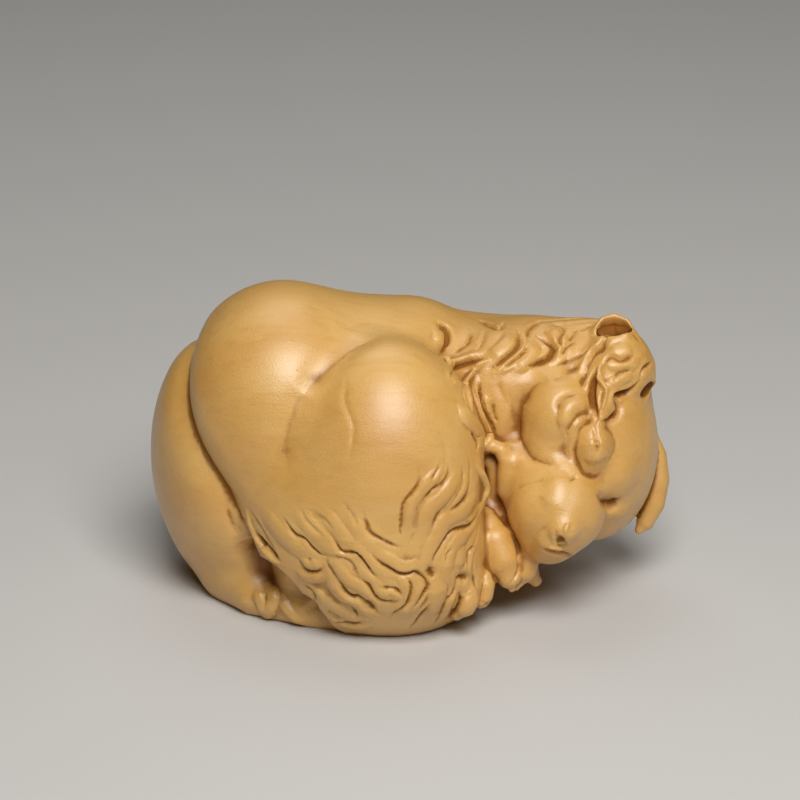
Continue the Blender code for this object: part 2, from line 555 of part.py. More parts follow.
def smooth_line(line, gap=0.25):
    """Points along a curve through the drawn ones, about this far apart."""
    line = np.array(line, float)
    line = np.vstack([2 * line[0] - line[1], line, 2 * line[-1] - line[-2]])
    out = []
    for i in range(1, len(line) - 2):
        before, a, b, after = line[i - 1 : i + 3]
        steps = max(2, round(np.linalg.norm(b - a) / gap))
        t = (np.arange(steps) / steps)[:, None]
        out.append(
            0.5 * (2 * a + (b - before) * t + (2 * before - 5 * a + 4 * b - after) * t**2)
            + 0.5 * (3 * a - before - 3 * b + after) * t**3
        )
    return np.vstack(out + [line[-2:-1]])


def dropped(tree, line, sheet):
    """Where the drawn line lands, in units, and how strong the stroke is at each spot."""
    across, up, towards = sheet
    points, share = [], []
    drawn = smooth_line(line)
    for i, (x, y) in enumerate(drawn):
        start = (across * x + up * y + towards * 100) * UNIT
        hit, _, _, _ = tree.ray_cast(start, -towards)
        if hit is None:
            continue
        end = min(i, len(drawn) - 1 - i) / (0.22 * len(drawn))
        points.append(np.array(hit) / UNIT)
        share.append(min(1.0, 0.25 + 0.75 * end))
    return np.array(points), np.array(share)


def profile(kind, far, side):
    """How far a stroke moves the wood, by the distance in half-widths and the side of the line."""
    if kind == "ridge":
        return np.clip(1 - far**2, 0, 1) ** 2
    if kind == "lobe":
        return np.clip(1 - far**2, 0, 1) ** 0.7
    if kind == "cut":
        return -np.clip(1 - far / 1.7, 0, 1) ** 2
    above = side > 0
    groove = -np.clip(1 - far / np.where(above, 1.1, 3), 0, 1) ** np.where(above, 1.5, 2.2)
    swell = np.where(above, 0.35 * np.clip(far / 1.1, 0, 1) * np.clip(1 - far / 3, 0, 1), 0)
    return groove + swell


def draw(obj, strokes, sheet):
    """Cuts the grooves and raises the ridges, each where it lands on the carving."""
    mesh = obj.data
    points = points_of(mesh) / UNIT
    normals = normals_of(mesh)
    upward, towards = np.array(sheet[1]), np.array(sheet[2])
    facing = normals @ towards > -0.2
    tree = tree_of(obj)
    down = np.zeros(len(points))
    up = np.zeros(len(points))
    for kind, half_width, depth, line in strokes:
        spots, share = dropped(tree, line, sheet)
        if len(spots) < 3:
            continue
        reach = 3 * half_width
        inside = (points > spots.min(0) - reach).all(axis=1)
        inside &= (points < spots.max(0) + reach).all(axis=1)
        near = np.flatnonzero(facing & inside)
        away = np.linalg.norm(points[near, None, :] - spots[None], axis=2)
        closest = away.argmin(axis=1)
        along = np.gradient(spots, axis=0)
        across = np.cross(towards, along)
        across *= np.sign(across.mean(axis=0) @ upward)
        side = ((points[near] - spots[closest]) * across[closest]).sum(axis=1)
        width = half_width * (0.4 + 0.6 * share[closest])
        move = depth * share[closest] ** 1.5 * profile(kind, away.min(axis=1) / width, side)
        down[near] = np.minimum(down[near], move)
        up[near] = np.maximum(up[near], move)
    points += normals * (down + up * np.clip(1 + down / 0.3, 0, 1))[:, None]
    move_to(mesh, points * UNIT)


def tree_of(obj):
    mesh = obj.data
    mesh.calc_loop_triangles()
    corners = np.empty(len(mesh.loop_triangles) * 3, np.int32)
    mesh.loop_triangles.foreach_get("vertices", corners)
    return BVHTree.FromPolygons(points_of(mesh).tolist(), corners.reshape(-1, 3).tolist())


def carve(grain=GRAIN):
    bm = bmesh.new()
    for group, _, way in GROUPS:
        for shape in group.values():
            if way != "cut":
                add_shape(bm, shape)
    dog = object_of(bm, "boxwood_dog_carving")
    merge(dog, 0.0006)
    press(dog, rounds=6)
    merge(dog, grain)
    press(dog, rounds=3)
    front = paper(0, 22)
    for strokes in (CREASES, FUR + MANE_HAIR, FACE + EAR):
        draw(dog, strokes, front)
    draw(dog, BACK, paper(180, 15))
    draw(dog, HEAD_END, paper(90, 15))
    return dog


def thin_out(obj, triangles):
    """Fewer, larger triangles where the surface is plain."""
    decimate = obj.modifiers.new("thin out", "DECIMATE")
    decimate.ratio = triangles / sum(len(face.vertices) - 2 for face in obj.data.polygons)
    decimate.use_collapse_triangulate = True
    settle(obj)


def level_underside(obj):
    """Saws the block level at the height of the table."""
    bm = bmesh.new()
    depth = 10 * UNIT
    size = Matrix.Diagonal((3 * LENGTH, 3 * LENGTH, depth, 1))
    bmesh.ops.create_cube(bm, size=1, matrix=Matrix.Translation((0, 0, -depth / 2)) @ size)
    block = object_of(bm, "waste below the table")
    saw = obj.modifiers.new("saw", "BOOLEAN")
    saw.operation = "DIFFERENCE"
    saw.solver = "MANIFOLD"
    saw.object = block
    settle(obj)
    bpy.data.objects.remove(block, do_unlink=True)


def boxwood():
    material = bpy.data.materials.new("boxwood")
    material.use_nodes = True
    shader = material.node_tree.nodes["Principled BSDF"]
    shader.inputs["Base Color"].default_value = (0.56, 0.31, 0.11, 1)
    shader.inputs["Metallic"].default_value = 0
    shader.inputs["Roughness"].default_value = 0.42
    return material


def put_in_collection(obj, name):
    collection = bpy.data.collections.new(name)
    bpy.context.scene.collection.children.link(collection)
    bpy.context.scene.collection.objects.unlink(obj)
    collection.objects.link(obj)


def put_over_origin(obj):
    obj.data.transform(Matrix.Translation(-MIDDLE * UNIT))


def clear_scene():
    for obj in list(bpy.data.objects):
        bpy.data.objects.remove(obj, do_unlink=True)


def main():
    clear_scene()
    dog = carve()
    thin_out(dog, TRIANGLES)
    level_underside(dog)
    put_over_origin(dog)
    dog.data.shade_smooth()
    dog.data.set_sharp_from_angle(angle=math.radians(60))
    dog.data.materials.clear()
    dog.data.materials.append(boxwood())
    put_in_collection(dog, dog.name)
    return dog


if __name__ == "__main__":
    main()
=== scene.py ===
# %% [markdown]
# # A sleeping dog in boxwood
#
# This lesson carves and finishes a small dog that lies curled up asleep. One
# like it is cut from a single block of boxwood with knives and gouges, then
# scraped, polished and waxed. The block that MuJoCo uses is already packed, so
# it is loaded first. The carving made here stays inside that block's box and
# has finer lines. The two surfaces are at most 1.7 mm apart, but the slot beside
# the muzzle, which a rim and a web close in part here, is open in the block and
# up to 14 mm deeper along the line of sight.

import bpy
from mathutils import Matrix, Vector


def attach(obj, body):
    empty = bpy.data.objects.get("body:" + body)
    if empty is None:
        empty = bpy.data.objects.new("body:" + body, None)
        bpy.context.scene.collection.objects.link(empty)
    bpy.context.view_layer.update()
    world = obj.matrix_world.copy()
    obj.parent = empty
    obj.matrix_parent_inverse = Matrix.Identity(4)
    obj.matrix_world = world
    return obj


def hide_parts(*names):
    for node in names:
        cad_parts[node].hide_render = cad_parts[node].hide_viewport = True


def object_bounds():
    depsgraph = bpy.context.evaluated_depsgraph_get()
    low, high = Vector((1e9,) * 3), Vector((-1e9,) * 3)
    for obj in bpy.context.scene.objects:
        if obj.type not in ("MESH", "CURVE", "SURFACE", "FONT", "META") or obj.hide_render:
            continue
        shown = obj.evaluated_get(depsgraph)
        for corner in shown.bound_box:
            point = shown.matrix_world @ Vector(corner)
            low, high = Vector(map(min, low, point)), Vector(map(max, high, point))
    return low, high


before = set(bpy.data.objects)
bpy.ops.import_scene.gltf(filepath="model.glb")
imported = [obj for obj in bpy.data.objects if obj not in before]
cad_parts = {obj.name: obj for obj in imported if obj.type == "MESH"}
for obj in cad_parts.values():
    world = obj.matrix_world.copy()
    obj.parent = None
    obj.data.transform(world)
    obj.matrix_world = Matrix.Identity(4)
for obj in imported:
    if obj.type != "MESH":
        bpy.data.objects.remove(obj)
CAD_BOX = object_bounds()
print("block box in mm:", [[round(v * 1000, 1) for v in corner] for corner in CAD_BOX])

# %% [markdown]
# ## Sizes
#
# A carver keeps the proportions of a figure and lets its size follow from the
# block. The same is done here: every length below is in units, and a unit is
# a sixty-eighth of the figure's length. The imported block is 68.32 units long,
# so its own length gives the figure's, to a tenth of a millimetre. A unit is
# one millimetre on this dog, so the numbers read as millimetres.

# %% Sizes and libraries
import math

import bmesh
import bpy
import numpy as np
from mathutils import Euler, Matrix, Vector
from mathutils.bvhtree import BVHTree

MM = 0.001
UNITS_ALONG_FIGURE = 68
UNITS_ALONG_BLOCK = 68.32
block_length = CAD_BOX[1][0] - CAD_BOX[0][0]
LENGTH = round(block_length * UNITS_ALONG_FIGURE / UNITS_ALONG_BLOCK, 4)
UNIT = LENGTH / UNITS_ALONG_FIGURE
# The middle of the figure as it is set out below, which moves to the frame's origin at the end
MIDDLE = Vector((0.05, -0.85, 0))
# A depth further outside than any mass is from any point
FAR = 1000.0
print("one unit is", round(UNIT * 1000, 3), "mm")

# %% [markdown]
# ## Two kinds of mass
#
# A carver first sees a figure as a few simple masses. Two kinds are enough for
# this dog. An egg is a ball stretched to three half-sizes and turned, which
# suits a haunch, a skull or a cheek. A rod is a line of balls that swell and
# shrink, which suits a toe, a lock of hair or the rim of an ear. The melt says
# how widely a mass flows into its neighbours.

# %% Eggs and rods
def egg(centre, radii, turn=(0, 0, 0), melt=3):
    return "egg", centre, radii, turn, melt


def rod(points, radii, melt=0.8):
    return "rod", points, radii, None, melt


# %% [markdown]
# ## The masses of the dog
#
# The dog lies on its side with its back away from us. The trunk is a hip, a
# loin, a back and the ribs. The far haunch shows behind it at the rump, the
# near thigh lies in front, and the head is rolled over so that the nose points
# at us and the near ear hangs on top. Each group melts together first. Then it
# is set against the groups before it with a melt of its own: a wide one where
# flesh flows into flesh, and a narrow one where a crease was cut. The far
# haunch doesn't melt in at all. A groove is cut where it meets the trunk.

# %% Masses
TRUNK = {
    "hip": egg((-16.4, 1.5, 27.1), (13.2, 15, 13.85)),
    "loin": egg((-13.6, -3.5, 19), (13.9, 11.4, 18.5), (0, -19, 0), melt=5),
    "back": egg((-4, 4, 26), (13, 13, 12), melt=5),
    "ribs": egg((2, 9, 20), (20, 12, 14), melt=5),
}
LOW_HIP = {"low hip": egg((-20.5, 3.2, 15.8), (13.5, 15.3, 19.8), (0, -6.2, 0))}
UNDERBODY = {
    "belly": egg((-3.5, -4, 3.6), (14.5, 14.4, 6.6)),
    "tail": rod(
        [(-23.5, -4, 2.4), (-20, -8.8, 2.4), (-17, -10.6, 2.2), (-13, -12.6, 2), (-8, -13.6, 2)],
        [3, 3, 2.6, 2.4, 2.4],
        melt=2,
    ),
}
SHOULDER = {"shoulder": egg((1, 6, 28.0), (7.0, 9, 8.8))}
MANE = {
    "withers": egg((10, 7, 24.2), (12, 10, 9.8)),
    "nape": egg((18, 4, 24), (11, 9, 11.3), melt=5),
    "crest": egg((24.4, 2, 28), (6.6, 6, 7.6), melt=4),
    "throat": egg((11.5, 0, 25), (7, 6, 9), melt=5),
}
HIND_LEG = {
    "thigh": egg((-3.2, -11.0, 17.5), (11.8, 10.5, 13.5)),
    "knee": egg((-3.2, -8.3, 26), (10.2, 9, 11.2), melt=9),
    "shank": egg((-1.4, -12.2, 8.5), (10.6, 8.8, 8.3), melt=6),
    "flank": egg((-10, -6.5, 17), (10, 10.3, 11), melt=6),
    "fringe": egg((-7.5, -9.5, 12.0), (13.5, 9.8, 8.6), (0, 24, 0), melt=6),
}
LOCKS = {
    "heel": rod([(9.0, -13.6, 8.2), (9.7, -14.2, 6), (9.2, -14.8, 4)], [0.7, 1.2, 0.9]),
    "heel side": rod([(7.8, -15.5, 8), (7.0, -16.5, 5), (5.9, -16.8, 3.4)], [1.2, 1.8, 1.0]),
    "middle": rod([(3.6, -17, 7), (2.7, -17.8, 4.5), (2.0, -17.6, 2.9)], [1.0, 1.4, 0.9]),
    "inner": rod([(-0.5, -17.5, 5), (-1.3, -17.6, 3.2), (-1.2, -17, 2.0)], [1.4, 1.5, 1.0]),
    "long": rod([(-9.6, -15, 4.6), (-7.4, -16.8, 3.6), (-4.6, -16.6, 2.2)], [1.0, 1.8, 1.2]),
}
HEAD = {
    "skull": egg((23.6, 0, 19.5), (8.8, 10.5, 12.8)),
    "cheek": egg((19.2, -4.6, 25.7), (5.4, 5.7, 5.9), melt=1),
    "far brow": egg((25.8, -8.0, 19.2), (2.8, 2.6, 2.9), melt=1.5),
}
MUZZLE = {
    "snout": rod([(18.2, -5, 17.6), (18.1, -10.0, 15.0), (18.6, -13.2, 13.0)], [8.0, 5.7, 3.3]),
    "chin": egg((17.8, -10.6, 10.8), (3.5, 3.8, 3.0), melt=2),
    "right side": egg((20.9, -11, 15.2), (4.1, 4.4, 4.9), melt=2),
    "bridge": rod([(19.7, -9.8, 19), (19.4, -14.4, 15.2)], [2.6, 2.0], melt=2),
    "nose": egg((19.5, -15.8, 14.5), (2.0, 1.8, 1.7), melt=0.6),
    "wing": egg((17.7, -15.0, 12.5), (1.3, 1.2, 0.9), melt=0.5),
}
EYE = {"lid": egg((23.2, -9.8, 23.0), (2.6, 2.0, 3.4))}
FAR_EAR = {
    "flap": rod(
        [
            (31.4, 3, 20.6), (32.4, 2.6, 17), (32.6, 1.6, 14), (32.0, 0.6, 11), (31.0, -0.4, 8.8),
            (30.2, -1, 7.9),
        ],
        [0.8, 1.4, 1.6, 1.6, 1.2, 0.6],
    )
}
NEAR_EAR = {
    "flap": egg((26.6, -0.6, 30.4), (4.9, 5.4, 5.6)),
    "tip": rod(
        [(25.4, -4.2, 31), (24.8, -6.6, 29), (24.1, -8.8, 27), (23.8, -9.7, 26)],
        [2.2, 1.6, 1.0, 0.6],
        melt=1.5,
    ),
    "rim": rod(
        [(24.2, -0.2, 35.3), (25, 1, 36.4), (26.4, 1.4, 36.7), (27.8, 0.8, 36.2), (28.6, -0.4, 34.9)],
        [0.8, 0.7, 0.7, 0.7, 0.8],
        melt=0.5,
    ),
    "rim below": rod(
        [(24.4, -1.8, 34.6), (26, -2.4, 34.9), (27.6, -2, 35.5), (28.4, -0.8, 35.5)],
        [0.6, 0.6, 0.6, 0.6],
        melt=0.5,
    ),
    "front": rod(
        [(25.6, -1.3, 35), (24.6, -2, 33.9), (23.5, -3.2, 32.8), (22.9, -4.6, 31.4), (22.7, -5.9, 30.1)],
        [0.9, 1, 1, 1, 0.8],
    ),
    "side": rod(
        [(29.3, -1.5, 33.2), (30.5, -1.2, 31.4), (30.8, -1.7, 29), (30.4, -2.4, 27.8)],
        [0.9, 1.0, 0.9, 0.6],
    ),
}
FOLDS = {
    "lip fold": rod(
        [
            (9.2, -7, 21.8), (10.3, -7.8, 22.8), (11.6, -8.4, 22.4), (12.2, -8.7, 21),
            (12.1, -8.8, 19), (12, -8.8, 17),
        ],
        [0.5, 0.8, 0.9, 0.9, 0.9, 0.7],
    ),
    "inner fold": rod(
        [(9.8, -6.6, 20.8), (10.6, -6.9, 19.4), (10.8, -7.1, 17.6), (10.8, -7.1, 15.8), (11.2, -6.8, 14)],
        [0.4, 0.5, 0.55, 0.5, 0.4],
    ),
    "web": rod([(9.4, -5.2, 20.5), (9.8, -5.4, 17.5), (10.1, -5.6, 14)], [1, 1.1, 1.1]),
    "rim": rod(
        [(8.2, -13.8, 23), (8.9, -13, 20.8), (9.3, -12.6, 19), (9.3, -12.6, 17.3), (8.7, -13.4, 16.6)],
        [0.3, 0.45, 0.5, 0.45, 0.3],
    ),
}
PAW = {
    "forearm": rod([(9.9, -6.4, 14.6), (11.2, -7.6, 12), (12.6, -8.4, 8.8)], [1.4, 2.2, 1.9]),
    "first toe": rod(
        [
            (9.6, -9.6, 13.4), (10.9, -11.2, 10.9), (11.8, -12.2, 8.7), (12.7, -13, 6.7),
            (13.1, -13.4, 5.2),
        ],
        [1.4, 2.4, 2.4, 1.6, 0.5],
        melt=0.3,
    ),
    "second toe": rod(
        [(13.2, -9.6, 11.2), (14.7, -10.5, 8.9), (14.6, -11.3, 6.9), (13.6, -12.3, 5)],
        [1.5, 2.1, 1.8, 0.6],
        melt=0.4,
    ),
    "third toe": rod([(14.9, -8.4, 6.8), (15.6, -9, 5.2), (16.3, -9.1, 4.3)], [1.4, 1.2, 0.8], melt=0.4),
}
HOLLOWS = {
    "ear": egg((26.3, -0.6, 35.5), (2.3, 1.7, 4.2)),
    "ear fold": egg((30.8, -3.2, 28.5), (1.5, 1.8, 1.1)),
    "nostril": rod([(18.8, -17.5, 13.7), (19.3, -16.4, 12.9)], [0.75, 0.55]),
}

# Each group with how widely it melts into the groups before it. It adds wood, adds it behind a cut crease, or
# takes wood away
GROUPS = [
    (TRUNK, 1, "add"),
    (LOW_HIP, 2.2, "crease"),
    (UNDERBODY, 3, "add"),
    (SHOULDER, 2, "add"),
    (MANE, 3, "add"),
    (HIND_LEG, 2.5, "add"),
    (LOCKS, 0.6, "add"),
    (HEAD, 2, "add"),
    (MUZZLE, 1.5, "add"),
    (EYE, 0.8, "add"),
    (FAR_EAR, 0.4, "add"),
    (NEAR_EAR, 0.8, "add"),
    (FOLDS, 1.3, "add"),
    (PAW, 0.8, "add"),
    (HOLLOWS, 0.3, "cut"),
]

print(sum(len(group) for group, _, _ in GROUPS), "masses in", len(GROUPS), "groups")

# %% [markdown]
# ## From masses to one skin
#
# Joining balls with a Boolean leaves a hard seam at every meeting, like a
# string of balloons. Wood under a scraper has none. So the masses are read as
# depths instead: for any point, how far outside each mass it is. The lower of
# two depths is the union of the two shapes, and rounding that choice where the
# depths are nearly equal gives the soft hollow that a gouge leaves.

# %% How far a point is outside the wood
def turned(turn):
    return Euler([math.radians(a) for a in turn]).to_matrix()


def depth_of_egg(centre, radii, turn, points):
    local = (points - np.array(centre)) @ np.array(turned(turn))
    radii = np.array(radii, float)
    near = np.linalg.norm(local / radii, axis=1)
    steep = np.linalg.norm(local / radii**2, axis=1)
    return near * (near - 1) / np.maximum(steep, 1e-9)


def depth_of_rod(line, radii, points):
    depth = np.full(len(points), FAR)
    for i in range(len(line) - 1):
        a, b = np.array(line[i], float), np.array(line[i + 1], float)
        t = np.clip((points - a) @ (b - a) / ((b - a) @ (b - a)), 0, 1)
        away = np.linalg.norm(points - a - t[:, None] * (b - a), axis=1)
        depth = np.minimum(depth, away - radii[i] - t * (radii[i + 1] - radii[i]))
    return depth


def depth_of(shape, points):
    kind, place, radii, turn, _ = shape
    corners = np.atleast_2d(np.array(place, float))
    reach = max(radii) + 8
    near = ((points > corners.min(0) - reach) & (points < corners.max(0) + reach)).all(axis=1)
    depth = np.full(len(points), FAR)
    if kind == "egg":
        depth[near] = depth_of_egg(place, radii, turn, points[near])
    else:
        depth[near] = depth_of_rod(place, radii, points[near])
    return depth


def melted(a, b, width):
    share = np.clip(0.5 + 0.5 * (b - a) / width, 0, 1)
    return b + (a - b) * share - width * share * (1 - share)


def creased(a, b, width):
    near = np.clip(1 - np.abs(b - a) / width, 0, 1)
    return np.minimum(a, b) + 0.5 * width * near**2


def depth_in_wood(points):
    wood = np.full(len(points), FAR)
    for group, width, way in GROUPS:
        depth = np.full(len(points), FAR)
        for shape in group.values():
            depth = melted(depth, depth_of(shape, points), shape[4])
        if way == "add":
            wood = melted(wood, depth, width)
        elif way == "crease":
            wood = creased(wood, depth, width)
        else:
            wood = -melted(-wood, depth, width)
    return wood


# %% [markdown]
# ## A rough block to start from
#
# The skin has to start somewhere near the figure. Plain spheres from bmesh,
# stretched and turned by their matrices, stand where the masses are. A Remesh
# modifier in voxel mode then wraps them in a single closed skin of even quads,
# with no walls left inside where the shapes overlap.

# %% Spheres where the masses are
def add_egg(bm, centre, radii, turn=(0, 0, 0), fineness=3):
    place = Matrix.Translation(Vector(centre) * UNIT)
    size = Matrix.Diagonal([r * UNIT for r in radii] + [1])
    bmesh.ops.create_icosphere(
        bm,
        subdivisions=fineness,
        radius=1,
        matrix=place @ turned(turn).to_4x4() @ size,
    )


def add_shape(bm, shape):
    kind, place, radii, turn, _ = shape
    if kind == "egg":
        add_egg(bm, place, radii, turn)
        return
    for i in range(len(place) - 1):
        steps = 6
        for j in range(steps + 1):
            t = j / steps
            middle = Vector(place[i]).lerp(Vector(place[i + 1]), t)
            radius = radii[i] * (1 - t) + radii[i + 1] * t
            add_egg(bm, middle, (radius,) * 3, fineness=2)


def object_of(bm, name):
    mesh = bpy.data.meshes.new(name)
    bm.to_mesh(mesh)
    bm.free()
    obj = bpy.data.objects.new(name, mesh)
    bpy.context.scene.collection.objects.link(obj)
    return obj


# The hollows take wood away, so no spheres stand for them
rough = bmesh.new()
for group, _, way in GROUPS:
    for shape in group.values():
        if way != "cut":
            add_shape(rough, shape)
dog = object_of(rough, "carved_dog")
print(len(dog.data.vertices), "points in the rough block")


# %% Wrap them in one skin
def settle(obj):
    graph = bpy.context.evaluated_depsgraph_get()
    mesh = bpy.data.meshes.new_from_object(obj.evaluated_get(graph))
    old = obj.data
    obj.modifiers.clear()
    obj.data = mesh
    bpy.data.meshes.remove(old)


def merge(obj, grain):
    remesh = obj.modifiers.new("one skin", "REMESH")
    remesh.mode = "VOXEL"
    remesh.voxel_size = grain
    remesh.use_smooth_shade = True
    settle(obj)


ROUGH_GRAIN = 0.0006
merge(dog, ROUGH_GRAIN)
print(len(dog.data.polygons), "faces in the first skin")

# %% [markdown]
# ## Press the skin onto the figure
#
# Each point of the skin now asks how far outside the wood it is and which way
# that grows fastest, and steps back along that way. A few steps land it on the
# surface. The skin is wrapped again at a finer grain afterwards, because the
# first one stretched, and the finer one is pressed in turn.

# %% Press
def points_of(mesh):
    co = np.empty(len(mesh.vertices) * 3, np.float32)
    mesh.vertices.foreach_get("co", co)
    return co.reshape(-1, 3).astype(np.float64)


def normals_of(mesh):
    out = np.empty(len(mesh.vertices) * 3, np.float32)
    mesh.vertex_normals.foreach_get("vector", out)
    return out.reshape(-1, 3).astype(np.float64)


def move_to(mesh, points):
    mesh.vertices.foreach_set("co", points.astype(np.float32).ravel())
    mesh.update()


# In units: how far apart two depths are read for the slope, and the furthest that a point moves in a round
SLOPE_STEP = 0.02
LONGEST_MOVE = 1.5


def press(obj, rounds):
    points = points_of(obj.data) / UNIT
    for _ in range(rounds):
        here = depth_in_wood(points)
        slope = np.stack(
            [(depth_in_wood(points + d) - here) / SLOPE_STEP for d in np.eye(3) * SLOPE_STEP],
            axis=1,
        )
        square = np.maximum((slope**2).sum(axis=1), 0.2)
        move = slope * (here / square)[:, None]
        length = np.linalg.norm(move, axis=1, keepdims=True)
        points = points - move * np.minimum(1, LONGEST_MOVE / np.maximum(length, 1e-9))
    move_to(obj.data, points * UNIT)
    return float(np.abs(depth_in_wood(points)).mean())


FINE_GRAIN = 0.0002
press(dog, 6)
merge(dog, FINE_GRAIN)
left = press(dog, 3)
print(len(dog.data.polygons), "faces, on average", round(left * 1000, 2), "microns off the figure")

# %% [markdown]
# ## Drawing on the figure
#
# Hair, folds and eyelids are cut into the finished masses. A carver draws them
# on the wood first, and so does this script. A sheet is laid over the figure
# as seen from one side. A line drawn on the sheet is dropped straight onto the
# wood with a ray, wherever it lands, so it follows every swelling.
#
# A cut is a groove with soft shoulders, a slit is the sharp line of a knife or
# a V-gouge. A lock is the edge of a lock of hair, steep on its upper side and
# gentle on the other, so that the hair above seems to lie on the hair below. A
# ridge is a raised line, and a lobe is the rounded back of a lock.

# %% The sheet and its strokes
def paper(azimuth, elevation):
    a, e = math.radians(azimuth), math.radians(elevation)
    across = Vector((math.cos(a), math.sin(a), 0))
    towards = Vector((math.sin(a) * math.cos(e), -math.cos(a) * math.cos(e), math.sin(e)))
    return across, towards.cross(across), towards


def cut(half_width, depth, line):
    return "cut", half_width, depth, line


def lock(half_width, depth, line):
    return "lock", half_width, depth, line


def slit(half_width, depth, line):
    return "slit", half_width, depth, line


def ridge(half_width, height, line):
    return "ridge", half_width, height, line


def lobe(half_width, height, line):
    return "lobe", half_width, height, line


def strand(start, end, sway, steps=5):
    (x, y), (u, v) = start, end
    long = math.hypot(u - x, v - y)
    line = []
    for i in range(steps + 1):
        t = i / steps
        off = sway * math.sin(2 * math.pi * t) / long
        line.append((x + (u - x) * t - (v - y) * off, y + (v - y) * t + (u - x) * off))
    return line


def tresses(count, start, end, step, sway):
    strokes = []
    for i in range(count):
        x, y = start[0] + step[0] * i, start[1] + step[1] * i
        u, v = end[0] + (step[0] + 0.4) * i, end[1] + 1.5 * (i % 2)
        wave = sway * (1 + 0.3 * math.sin(2 * i))
        strokes.append(lobe(1.2, 0.35, strand((x, y), (u, v), wave)))
        strokes.append(lock(0.6, 0.45, strand((x + 1.2, y), (u + 1.3, v), wave)))
    return strokes


# %% Drop a line onto the wood
def smooth_line(line, gap=0.25):
    line = np.array(line, float)
    line = np.vstack([2 * line[0] - line[1], line, 2 * line[-1] - line[-2]])
    out = []
    for i in range(1, len(line) - 2):
        before, a, b, after = line[i - 1 : i + 3]
        steps = max(2, round(np.linalg.norm(b - a) / gap))
        t = (np.arange(steps) / steps)[:, None]
        out.append(
            0.5 * (2 * a + (b - before) * t + (2 * before - 5 * a + 4 * b - after) * t**2)
            + 0.5 * (3 * a - before - 3 * b + after) * t**3
        )
    return np.vstack(out + [line[-2:-1]])


def tree_of(obj):
    mesh = obj.data
    mesh.calc_loop_triangles()
    corners = np.empty(len(mesh.loop_triangles) * 3, np.int32)
    mesh.loop_triangles.foreach_get("vertices", corners)
    return BVHTree.FromPolygons(points_of(mesh).tolist(), corners.reshape(-1, 3).tolist())


def dropped(tree, line, sheet):
    across, up, towards = sheet
    points, share = [], []
    drawn = smooth_line(line)
    for i, (x, y) in enumerate(drawn):
        start = (across * x + up * y + towards * 100) * UNIT
        hit, _, _, _ = tree.ray_cast(start, -towards)
        if hit is None:
            continue
        end = min(i, len(drawn) - 1 - i) / (0.22 * len(drawn))
        points.append(np.array(hit) / UNIT)
        share.append(min(1.0, 0.25 + 0.75 * end))
    return np.array(points), np.array(share)


# %% Cut and raise along the lines
# How far a groove reaches from its line, in half-widths. A lock has a steep side and a gentle one
CUT_REACH = 1.7
SLIT_REACH = 1.3
STEEP_REACH = 1.1
GENTLE_REACH = 3
# A lock's steep side swells a little beyond the groove, by this share of its depth
SWELL = 0.35


def profile(kind, far, side):
    if kind == "ridge":
        return np.clip(1 - far**2, 0, 1) ** 2
    if kind == "lobe":
        return np.clip(1 - far**2, 0, 1) ** 0.7
    if kind == "cut":
        return -np.clip(1 - far / CUT_REACH, 0, 1) ** 2
    if kind == "slit":
        return -np.clip(1 - far / SLIT_REACH, 0, 1) ** 1.3
    above = side > 0
    reach = np.where(above, STEEP_REACH, GENTLE_REACH)
    groove = -np.clip(1 - far / reach, 0, 1) ** np.where(above, 1.5, 2.2)
    swell = SWELL * np.clip(far / STEEP_REACH, 0, 1) * np.clip(1 - far / GENTLE_REACH, 0, 1)
    return groove + np.where(above, swell, 0)


def draw(obj, strokes, sheet):
    mesh = obj.data
    points = points_of(mesh) / UNIT
    normals = normals_of(mesh)
    upward, towards = np.array(sheet[1]), np.array(sheet[2])
    # A stroke also takes hold where the wood just turns away from the sheet
    facing = normals @ towards > -0.2
    tree = tree_of(obj)
    down = np.zeros(len(points))
    up = np.zeros(len(points))
    for kind, half_width, depth, line in strokes:
        spots, share = dropped(tree, line, sheet)
        if len(spots) < 3:
            continue
        reach = GENTLE_REACH * half_width
        inside = (points > spots.min(0) - reach).all(axis=1)
        inside &= (points < spots.max(0) + reach).all(axis=1)
        near = np.flatnonzero(facing & inside)
        away = np.linalg.norm(points[near, None, :] - spots[None], axis=2)
        closest = away.argmin(axis=1)
        along = np.gradient(spots, axis=0)
        across = np.cross(towards, along)
        across *= np.sign(across.mean(axis=0) @ upward)
        side = ((points[near] - spots[closest]) * across[closest]).sum(axis=1)
        width = half_width * (0.4 + 0.6 * share[closest])
        move = depth * share[closest] ** 1.5 * profile(kind, away.min(axis=1) / width, side)
        down[near] = np.minimum(down[near], move)
        up[near] = np.maximum(up[near], move)
    # A raised line fades out where a groove crosses it
    moved = down + up * np.clip(1 + down / 0.3, 0, 1)
    points += normals * moved[:, None]
    move_to(mesh, points * UNIT)
    print(len(strokes), "strokes, from", round(moved.min(), 2), "to", round(moved.max(), 2), "units")
